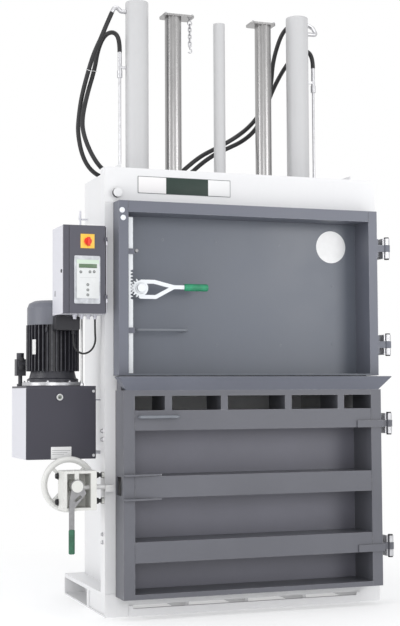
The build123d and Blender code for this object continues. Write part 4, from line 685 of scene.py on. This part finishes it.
def make_cords():
    """The hoses and the motor cable, each one smooth curve in place of its node."""
    for name, points in ROUTES.items():
        diameter = CABLE_DIAMETER if name == "motor_cable" else HOSE_DIAMETER
        curve = bpy.data.curves.new(name + "_look", "CURVE")
        curve.dimensions = "3D"
        curve.bevel_depth = diameter / 2
        curve.bevel_resolution = CORD_ROUND
        curve.use_fill_caps = True
        spline = curve.splines.new("NURBS")
        spline.points.add(len(points) - 1)
        for place, point in enumerate(points):
            spline.points[place].co = (*point, 1)
        spline.order_u = CORD_ORDER
        spline.use_endpoint_u = True
        spline.resolution_u = CORD_STEPS
        cord = put(name + "_look", curve, "hose_black", "frame")
        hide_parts(name)


make_cords()


def built(name, build, finish_name, body):
    """A piece made in mesh code: build adds its faces to an empty mesh."""
    work = bmesh.new()
    build(work)
    bmesh.ops.recalc_face_normals(work, faces=work.faces)
    mesh = bpy.data.meshes.new(name)
    work.to_mesh(mesh)
    work.free()
    shade_smooth(mesh, PIECE_SHARP)
    return put(name, mesh, finish_name, body)


def add_block(work, low, high, bevel=0.0):
    """A box between two corners, with rounded edges where a bevel is given."""
    made = bmesh.ops.create_cube(work, size=1)
    for vertex in made["verts"]:
        for axis in range(3):
            middle = (low[axis] + high[axis]) / 2
            vertex.co[axis] = middle + vertex.co[axis] * (high[axis] - low[axis])
    if bevel:
        edges = list({edge for vertex in made["verts"] for edge in vertex.link_edges})
        bmesh.ops.bevel(
            work, geom=edges, offset=bevel, segments=2, affect="EDGES", profile=0.5
        )


def add_skin(work, rings, closed=False):
    """Faces between rings of vertices, with flat ends unless the rings close on themselves."""
    count = len(rings[0])
    pairs = list(zip(rings, rings[1:]))
    if closed:
        pairs.append((rings[-1], rings[0]))
    for first, second in pairs:
        for place in range(count):
            after = (place + 1) % count
            work.faces.new((first[place], first[after], second[after], second[place]))
    if not closed:
        work.faces.new(list(reversed(rings[0])))
        work.faces.new(rings[-1])


def add_turned(work, centre, axis, profile, count=32):
    """A turned solid: profile holds (height along the axis, radius) from one end to the other."""
    directions = {
        "x": (Vector((1, 0, 0)), Vector((0, 1, 0)), Vector((0, 0, 1))),
        "y": (Vector((0, 1, 0)), Vector((0, 0, 1)), Vector((1, 0, 0))),
    }
    along, side, across = directions[axis]
    rings = []
    for height, radius in profile:
        ring = []
        for place in range(count):
            angle = math.tau * place / count
            ring.append(
                work.verts.new(
                    Vector(centre) + along * height
                    + side * radius * math.cos(angle) + across * radius * math.sin(angle)
                )
            )
        rings.append(ring)
    add_skin(work, rings)


def add_tube(work, points, radius, closed=False, count=12):
    """A round tube along points, with flat ends unless it closes on itself."""
    points = [Vector(point) for point in points]
    total = len(points)
    side = None
    rings = []
    for place, point in enumerate(points):
        before = points[place - 1] if closed or place else points[0]
        after = points[(place + 1) % total] if closed or place < total - 1 else points[-1]
        along = (after - before).normalized()
        if side is None:
            side = along.orthogonal().normalized()
        side = (side - along * side.dot(along)).normalized()
        across = along.cross(side)
        ring = []
        for number in range(count):
            angle = math.tau * number / count
            ring.append(
                work.verts.new(
                    point + radius * (math.cos(angle) * side + math.sin(angle) * across)
                )
            )
        rings.append(ring)
    add_skin(work, rings, closed)


def flat_plate(name, low, high, finish_name, body, bevel=0.0004):
    return built(name, lambda work: add_block(work, low, high, bevel), finish_name, body)


def disc(name, centre, diameter, height, finish_name, body, count):
    """A thin round plate that faces the front, with a small rim."""
    rim = min(abs(height) * 0.5, 0.0006)
    sign = 1 if height > 0 else -1
    profile = [(0, diameter / 2), (height - sign * rim, diameter / 2), (height, diameter / 2 - rim)]
    return built(
        name, lambda work: add_turned(work, centre, "y", profile, count), finish_name, body
    )


def build_keys(work):
    for x, z in KEY_PLACES:
        add_turned(work, millimetres(x, -60.0, z), "y", [(0.0, 0.0068), (-0.0007, 0.0066)], 28)


def build_symbols(work):
    """Small plain symbols on the keys: a bar on each, set upright on the lower three."""
    long, short = KEY_SYMBOL
    for place, (x, z) in enumerate(KEY_PLACES):
        wide, high = (long, short) if place < FLAT_KEYS else (short, long)
        add_block(
            work, millimetres(x - wide, -61.1, z - high), millimetres(x + wide, -60.6, z + high),
        )


def make_plates():
    """Name plate, round disc, the cabinet's switch plate, keypad face and display, tank label."""
    flat_plate(
        "name_plate", (PLATE_LEFT, PLATE_FRONT, PLATE_LOW), (PLATE_RIGHT, PLATE_BACK, PLATE_HIGH),
        "plate_print", "frame",
    )
    disc("round_sticker", (0.482, 0.0552, 1.749), 0.160, -0.0008, "disc_print", "upper_door", 96)
    flat_plate(
        "switch_plate", millimetres(-832, -56.2, 1692), millimetres(-766, -53.8, 1758),
        "switch_yellow", "cabinet_door_body", 0.0015,
    )
    flat_plate(
        "keypad_face", millimetres(-851, -60.2, 1461), millimetres(-746, -58.8, 1639),
        "pad_print", "cabinet_door_body", 0.0003,
    )
    flat_plate(
        "display_window", millimetres(-841, -61.6, 1601), millimetres(-756, -59.9, 1619),
        "display_print", "cabinet_door_body", 0.0002,
    )
    built("key_prints", build_keys, "symbol_grey", "cabinet_door_body")
    built("key_symbols", build_symbols, "pad_print", "cabinet_door_body")
    flat_plate(
        "tank_label", millimetres(-930, 109.6, 725), millimetres(-833, 111.2, 780),
        "label_print", "frame",
    )


make_plates()


def group_tree(name, **kinds):
    """A geometry node group with named inputs: its tree, its sockets' keys and its wires."""
    tree = bpy.data.node_groups.new(name, "GeometryNodeTree")
    keys = {}
    tree.interface.new_socket("Geometry", in_out="INPUT", socket_type="NodeSocketGeometry")
    for label, kind in kinds.items():
        socket = tree.interface.new_socket(
            label, in_out="INPUT", socket_type="NodeSocket" + kind
        )
        keys[label] = socket.identifier
    tree.interface.new_socket("Geometry", in_out="OUTPUT", socket_type="NodeSocketGeometry")
    start = tree.nodes.new("NodeGroupInput")
    given = {label: Wire(tree, start.outputs[label]) for label in ("Geometry", *kinds)}
    return tree, keys, given


def end_tree(tree, copies, finish):
    """Makes the copies real faces, gives them their material and ends the tree."""
    real = add_node(tree, "GeometryNodeRealizeInstances", Geometry=copies)
    painted = add_node(
        tree, "GeometryNodeSetMaterial", Geometry=real.outputs[0], Material=finish
    )
    end = tree.nodes.new("NodeGroupOutput")
    feed(tree, end.inputs[0], painted.outputs[0])


def raised(tree, mesh, height):
    """The mesh moved up its own axis."""
    move = add_node(tree, "ShaderNodeCombineXYZ", Z=height)
    node = add_node(
        tree, "GeometryNodeTransform", Geometry=mesh.outputs["Mesh"], Translation=move.outputs[0]
    )
    return node.outputs[0]


def random_number(tree, seed, low, high):
    """A random number between two limits, for each copy."""
    node = add_node(tree, "FunctionNodeRandomValue", {"data_type": "FLOAT"}, Seed=seed)
    node.inputs[2].default_value = low
    node.inputs[3].default_value = high
    return node.outputs[1]


def make_bolt_tree():
    """A bolt head on a washer at each point, turned as the point's own attribute says."""
    tree, keys, given = group_tree(
        "bolt_heads", Across="Float", Height="Float", Washer="Float", Sides="Int", Seed="Int",
        Finish="Material",
    )
    radius = given["Across"] / math.sqrt(3)
    washer_height = given["Height"] * 0.2
    body_height = given["Height"] * 0.62
    top_height = given["Height"] * 0.18
    washer = add_node(
        tree, "GeometryNodeMeshCylinder", Vertices=28, Radius=given["Washer"] * 0.5,
        Depth=washer_height,
    )
    body = add_node(
        tree, "GeometryNodeMeshCylinder", Vertices=given["Sides"], Radius=radius,
        Depth=body_height,
    )
    top = add_node(
        tree, "GeometryNodeMeshCone", Vertices=given["Sides"], Radius_Bottom=radius,
        Radius_Top=radius * 0.84, Depth=top_height,
    )
    whole = tree.nodes.new("GeometryNodeJoinGeometry")
    for mesh, height in (
        (top, washer_height + body_height), (body, washer_height + body_height * 0.5),
        (washer, washer_height * 0.5),
    ):
        feed(tree, whole.inputs[0], raised(tree, mesh, height))
    turn = add_node(
        tree, "GeometryNodeInputNamedAttribute", {"data_type": "FLOAT_VECTOR"}, Name="turn"
    )
    rotation = add_node(tree, "FunctionNodeEulerToRotation", Euler=turn.outputs[0])
    copies = add_node(
        tree, "GeometryNodeInstanceOnPoints", Points=given["Geometry"],
        Instance=whole.outputs[0], Rotation=rotation.outputs[0],
    )
    spin = random_number(tree, given["Seed"], 0.0, math.tau / 6)
    about = add_node(tree, "ShaderNodeCombineXYZ", Z=spin)
    spin_turn = add_node(tree, "FunctionNodeEulerToRotation", Euler=about.outputs[0])
    spun = add_node(
        tree, "GeometryNodeRotateInstances", Instances=copies.outputs[0],
        Rotation=spin_turn.outputs[0],
    )
    end_tree(tree, spun.outputs[0], given["Finish"])
    return tree, keys


def make_weld_tree():
    """Overlapping beads along lines, each a little different in size."""
    tree, keys, given = group_tree(
        "weld_beads", Step="Float", Bead="Float", Seed="Int", Finish="Material"
    )
    line = add_node(tree, "GeometryNodeMeshToCurve", Mesh=given["Geometry"])
    points = add_node(
        tree, "GeometryNodeResampleCurve", {"mode": "LENGTH"}, Curve=line.outputs[0],
        Length=given["Step"],
    )
    bead = add_node(
        tree, "GeometryNodeMeshUVSphere", Segments=8, Rings=5, Radius=given["Bead"]
    )
    copies = add_node(
        tree, "GeometryNodeInstanceOnPoints", Points=points.outputs[0],
        Instance=bead.outputs[0], Scale=random_number(tree, given["Seed"], 0.85, 1.2),
    )
    end_tree(tree, copies.outputs[0], given["Finish"])
    return tree, keys


bolt_tree, bolt_keys = make_bolt_tree()
weld_tree, weld_keys = make_weld_tree()
# How a bolt that stands upright turns to face each direction.
TURNS = {
    "+z": (0.0, 0.0, 0.0), "-y": (math.pi / 2, 0.0, 0.0), "+x": (0.0, math.pi / 2, 0.0),
    "-x": (0.0, -math.pi / 2, 0.0),
}


def grown(name, mesh, tree, keys, values, finish_name, body):
    """Runs the node group on the mesh and keeps its result as a plain piece."""
    source = bpy.data.objects.new(name + "_source", mesh)
    scene.collection.objects.link(source)
    modifier = source.modifiers.new("grow", "NODES")
    modifier.node_group = tree
    for label, value in values.items():
        modifier[keys[label]] = value
    modifier[keys["Finish"]] = finishes[finish_name].material
    view = bpy.context.evaluated_depsgraph_get()
    result = bpy.data.meshes.new_from_object(source.evaluated_get(view))
    bpy.data.objects.remove(source)
    result.name = name
    result.materials.clear()
    return put(name, result, finish_name, body)


def bolts(name, body, places, across, height, finish_name="zinc", sides=6, washer=1.5):
    """Bolt heads; each place is (x, y, z, direction), in millimetres."""
    mesh = bpy.data.meshes.new(name + "_points")
    mesh.from_pydata([millimetres(*place[:3]) for place in places], [], [])
    turn = mesh.attributes.new("turn", "FLOAT_VECTOR", "POINT")
    for number, place in enumerate(places):
        turn.data[number].vector = TURNS[place[3]]
    values = {
        "Across": across * MILL, "Height": height * MILL, "Washer": across * washer * MILL,
        "Sides": sides, "Seed": BOLT_SEED,
    }
    grown(name, mesh, bolt_tree, bolt_keys, values, finish_name, body)


def welds(name, body, lines, finish_name, bead, step):
    """Weld seams along lines, each a pair of ends in millimetres."""
    mesh = bpy.data.meshes.new(name + "_lines")
    ends = [millimetres(*end) for line in lines for end in line]
    mesh.from_pydata(ends, [(2 * number, 2 * number + 1) for number in range(len(lines))], [])
    values = {"Step": step * MILL, "Bead": bead * MILL, "Seed": WELD_SEED}
    piece = grown(name, mesh, weld_tree, weld_keys, values, finish_name, body)
    shade_smooth(piece.data)


def ring_places(x, y, z, radius, count):
    """Places of upright bolts on a ring."""
    places = []
    for number in range(count):
        angle = RING_START + math.tau * number / count
        places.append((x + radius * math.cos(angle), y + radius * math.sin(angle), z, "+z"))
    return places


def make_bolts():
    bolts("tank_cover_bolts", "frame", [(-726, 111, z, "-y") for z in (738, 1037)], 9, 4.5)
    bolts("wall_bolts", "frame", [(-702, 38, z, "-x") for z in (377, 340, 853, 813)], 15, 9)
    bolts(
        "cylinder_bolts", "frame",
        [
            place for x in (-CYLINDER_X, CYLINDER_X)
            for place in ring_places(x, CYLINDER_Y, FLANGE_TOP, 66.5, 8)
        ],
        10, 7,
    )
    bolts("motor_ring_bolts", "frame", ring_places(MOTOR_X, MOTOR_Y, RING_TOP, 137, 8), 9, 7)
    bolts(
        "manifold_bolts", "frame",
        [(x, y, MANIFOLD_TOP, "+z") for x in (-418, -302) for y in (454, 576)], 13, 8,
    )
    bolts(
        "guide_plate_bolts", "platen_body",
        [(x, y, GUIDE_PLATE_TOP, "+z") for x in (-298, -158, 176, 290) for y in (306, 386)],
        10, 7,
    )
    bolts(
        "stud_nuts", "frame",
        [
            (x, STUD_Y, z, direction) for x, direction in ((-917, "-x"), (-738, "+x"))
            for z in STUD_HEIGHTS
        ],
        24, 13, "dark_steel", washer=1.35,
    )
    bolts(
        "panel_dimples", "upper_door", [(x, PANEL_FRONT, z, "-y") for x, z in PANEL_DIMPLES],
        9, 1.6, "panel_grey", sides=24, washer=1.6,
    )


def make_welds():
    lower_lines = []
    for low, high in LOWER_BEAMS:
        for side in (-1, 1):
            lower_lines.append(((side * 598, -134, low + 3), (side * 598, -134, high - 3)))
    for x in LOWER_WEBS:
        for side in (-1, 1):
            lower_lines.append(((x + side * 17, -133, 949), (x + side * 17, -90, 949)))
    welds("lower_door_welds", "lower_door", lower_lines, "lower_grey", 1.8, 2.8)
    welds(
        "upper_door_welds", "upper_door",
        [((side * 616, -97, 1866), (side * 616, -97, 1913)) for side in (-1, 1)],
        "upper_grey", 1.8, 2.8,
    )
    welds(
        "frame_welds", "frame",
        [
            ((side * 640, -0.5, z), (side * 700, -0.5, z))
            for z in (1918, 107) for side in (-1, 1)
        ],
        "frame_white", 2.2, 3.4,
    )


make_bolts()
make_welds()


def build_hose_tie(work):
    """A thin band in a long loop round both left hoses."""
    along = Vector(TIE_ALONG).normalized()
    first, second = (Vector(end) for end in TIE_ENDS)
    wide = (second - first) - along * (second - first).dot(along)
    half = wide.length / 2
    wide.normalize()
    high = along.cross(wide)
    middle = (first + second) / 2
    reach = HOSE_DIAMETER / 2 + TIE_GAP
    points = []
    for side in (1, -1):
        for number in range(TIE_POINTS):
            angle = -side * math.pi / 2 + math.pi * number / (TIE_POINTS - 1)
            out = side * half + reach * math.cos(angle)
            points.append(middle + wide * out + high * reach * math.sin(angle))
    add_tube(work, points, TIE_RADIUS, closed=True, count=10)


def build_sight_ring(work):
    points = []
    for number in range(40):
        angle = math.tau * number / 40
        out = Vector((math.cos(angle), 0, math.sin(angle)))
        points.append(Vector(SIGHT_CENTRE) + out * SIGHT_RADIUS)
    add_tube(work, points, SIGHT_WIRE, closed=True)


def build_drain_pipe(work):
    x, y, low = DRAIN_PLACE
    points = [(x, y, low + number * DRAIN_STEP) for number in range(DRAIN_POINTS)]
    add_tube(work, points, DRAIN_RADIUS, count=20)


def build_side_lock(work):
    """The cabinet's small lock with its slot, and a plate, on the left side."""
    add_turned(
        work, millimetres(-912, -18, 1588), "x",
        [(0.0005, 0.0085), (-0.0020, 0.0085), (-0.0032, 0.0070)],
    )
    add_block(work, millimetres(-916.4, -19.2, 1582), millimetres(-914.8, -16.8, 1594), 0.0004)
    add_block(work, millimetres(-913.4, 104, 1478), millimetres(-911.6, 110, 1504), 0.0006)


def build_valve_front(work):
    """The coil's round plug and ring on the valve block's front."""
    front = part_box("valve_block")[0][1]
    for z, diameter, proud in ((1.190, 0.026, 0.0030), (1.152, 0.030, 0.0020)):
        add_turned(
            work, (-1.014, front + 0.0004, z), "y",
            [(0, diameter / 2), (-proud, diameter / 2), (-proud - 0.001, diameter / 2 - 0.003)],
        )


def build_motor_label(work):
    """A bare rating plate held on two fins of the motor's left front."""
    angle = math.radians(MOTOR_PLATE_ANGLE)
    out = Vector((math.cos(angle), math.sin(angle), 0))
    side = Vector((-math.sin(angle), math.cos(angle), 0))
    axis = Vector((MOTOR_X * MILL, MOTOR_Y * MILL, MOTOR_PLATE_HEIGHT))
    centre = axis + out * MOTOR_PLATE_OUT
    width, thickness, height = MOTOR_PLATE_SIZE
    made = bmesh.ops.create_cube(work, size=1)
    for vertex in made["verts"]:
        x, y, z = vertex.co
        vertex.co = centre + side * x * width + out * y * thickness + Vector((0, 0, z * height))


def build_bumper_band(work):
    add_turned(
        work, millimetres(-644, -19, 1963), "y",
        [(0, 0.0208), (0.001, 0.0217), (0.0175, 0.0217), (0.0185, 0.0208)], 48,
    )


def build_white_bolts(work):
    """Two domed round heads at the door's upper left corner."""
    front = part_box("upper_door_frame")[0][1]
    for x, z in ((-646, 1870), (-641, 1835)):
        add_turned(
            work, (x * MILL, front + 0.0002, z * MILL), "y",
            [
                (0, 0.013), (-0.003, 0.0128), (-0.006, 0.0108), (-0.0078, 0.0072),
                (-0.0083, 0.003),
            ],
            40,
        )


def make_small_parts():
    sight_x, sight_y, sight_z = SIGHT_CENTRE
    drain_x, drain_y = (round(part / MILL) for part in DRAIN_PLACE[:2])
    built("hose_tie", build_hose_tie, "bolt_light", "frame")
    built("sight_glass_ring", build_sight_ring, "bolt_light", "frame")
    disc(
        "sight_glass", (sight_x, 0.1090, sight_z), 0.0195, -0.0015, "glass_green", "frame", 40
    )
    disc(
        "sight_glass_float", (sight_x, 0.1076, 1.009), 0.0070, -0.0008, "dark_detail", "frame", 24
    )
    disc(
        "lever_cap", (-0.5445, -0.0692, 1.514), 0.0400, -0.0030, "latch_white", "upper_door", 48
    )
    built("drain_pipe", build_drain_pipe, "bolt_light", "frame")
    bolts("drain_pipe_nuts", "frame", [(drain_x, drain_y, 1062, "+z")], 16, 14, washer=1.2)
    bolts(
        "clip_knobs", "upper_door", [(-560, -34, 1690, "-y")], 16, 10, "dull_steel", sides=20,
        washer=1.15,
    )
    built("cabinet_side_lock", build_side_lock, "dark_detail", "frame")
    built("valve_front_plugs", build_valve_front, "dark_detail", "frame")
    built("motor_label", build_motor_label, "label_print", "frame")
    built("bumper_band", build_bumper_band, "bumper_black", "frame")
    built("door_bolt_heads", build_white_bolts, "latch_white", "upper_door")


make_small_parts()


def seen_rays(tree):
    """1 for rays that show the white surroundings: to the eye, in gloss and through glass."""
    path = tree.nodes.new("ShaderNodeLightPath")
    camera = Wire(tree, path.outputs["Is Camera Ray"])
    gloss = Wire(tree, path.outputs["Is Glossy Ray"])
    return camera.largest(gloss).largest(Wire(tree, path.outputs["Is Transmission Ray"]))


def blend_shaders(tree, share, first, second, output):
    """The first shader where share is 0 and the second where it is 1, into the output."""
    mixer = tree.nodes.new("ShaderNodeMixShader")
    feed(tree, mixer.inputs[0], share)
    feed(tree, mixer.inputs[1], first.outputs[0])
    feed(tree, mixer.inputs[2], second.outputs[0])
    feed(tree, output.inputs["Surface"], mixer.outputs[0])


def make_floor():
    """A pale floor, which turns plain white further out and so hides the horizon."""
    work = bmesh.new()
    bmesh.ops.create_grid(work, x_segments=1, y_segments=1, size=FLOOR_HALF)
    mesh = bpy.data.meshes.new("floor")
    work.to_mesh(mesh)
    work.free()
    floor = bpy.data.objects.new("floor", mesh)
    scene.collection.objects.link(floor)
    finish = Finish("floor_white")
    mesh.materials.append(finish.material)
    finish.set(
        Base_Color=finish.mix(finish.noise(0.6, 3, 0.5), *FLOOR_TONES), Roughness=0.9,
        Specular_IOR_Level=0.1, Emission_Color=WHITE, Emission_Strength=FLOOR_GLOW,
    )
    x, y, z = finish.axes()
    off_x = x - RING_MIDDLE[0]
    off_y = y - RING_MIDDLE[1]
    away = (off_x * off_x + off_y * off_y).power(0.5)
    share = away.spread(*RING_LIMITS) * seen_rays(finish.tree)
    emission = add_node(finish.tree, "ShaderNodeEmission", Color=WHITE)
    blend_shaders(finish.tree, share, finish.shader, emission, finish.output)


def make_world():
    """Soft light from all around, and plain white where the surroundings are seen."""
    world = bpy.data.worlds.new("studio")
    scene.world = world
    world.use_nodes = True
    tree = world.node_tree
    tree.nodes.clear()
    output = tree.nodes.new("ShaderNodeOutputWorld")
    ambient = add_node(
        tree, "ShaderNodeBackground", Color=AMBIENT_COLOUR, Strength=AMBIENT_STRENGTH
    )
    seen = add_node(tree, "ShaderNodeBackground", Color=WHITE, Strength=1.0)
    blend_shaders(tree, seen_rays(tree), ambient, seen, output)


def area_light(name, place, target, width, height, power):
    data = bpy.data.lights.new(name, "AREA")
    data.shape = "RECTANGLE"
    data.size = width
    data.size_y = height
    data.energy = power
    light = bpy.data.objects.new(name, data)
    scene.collection.objects.link(light)
    aim = (Vector(target) - Vector(place)).to_track_quat("-Z", "Y")
    light.matrix_world = Matrix.Translation(place) @ aim.to_matrix().to_4x4()


make_floor()
make_world()
for lamp in LAMPS:
    area_light(*lamp)

scene.view_settings.view_transform = "Standard"
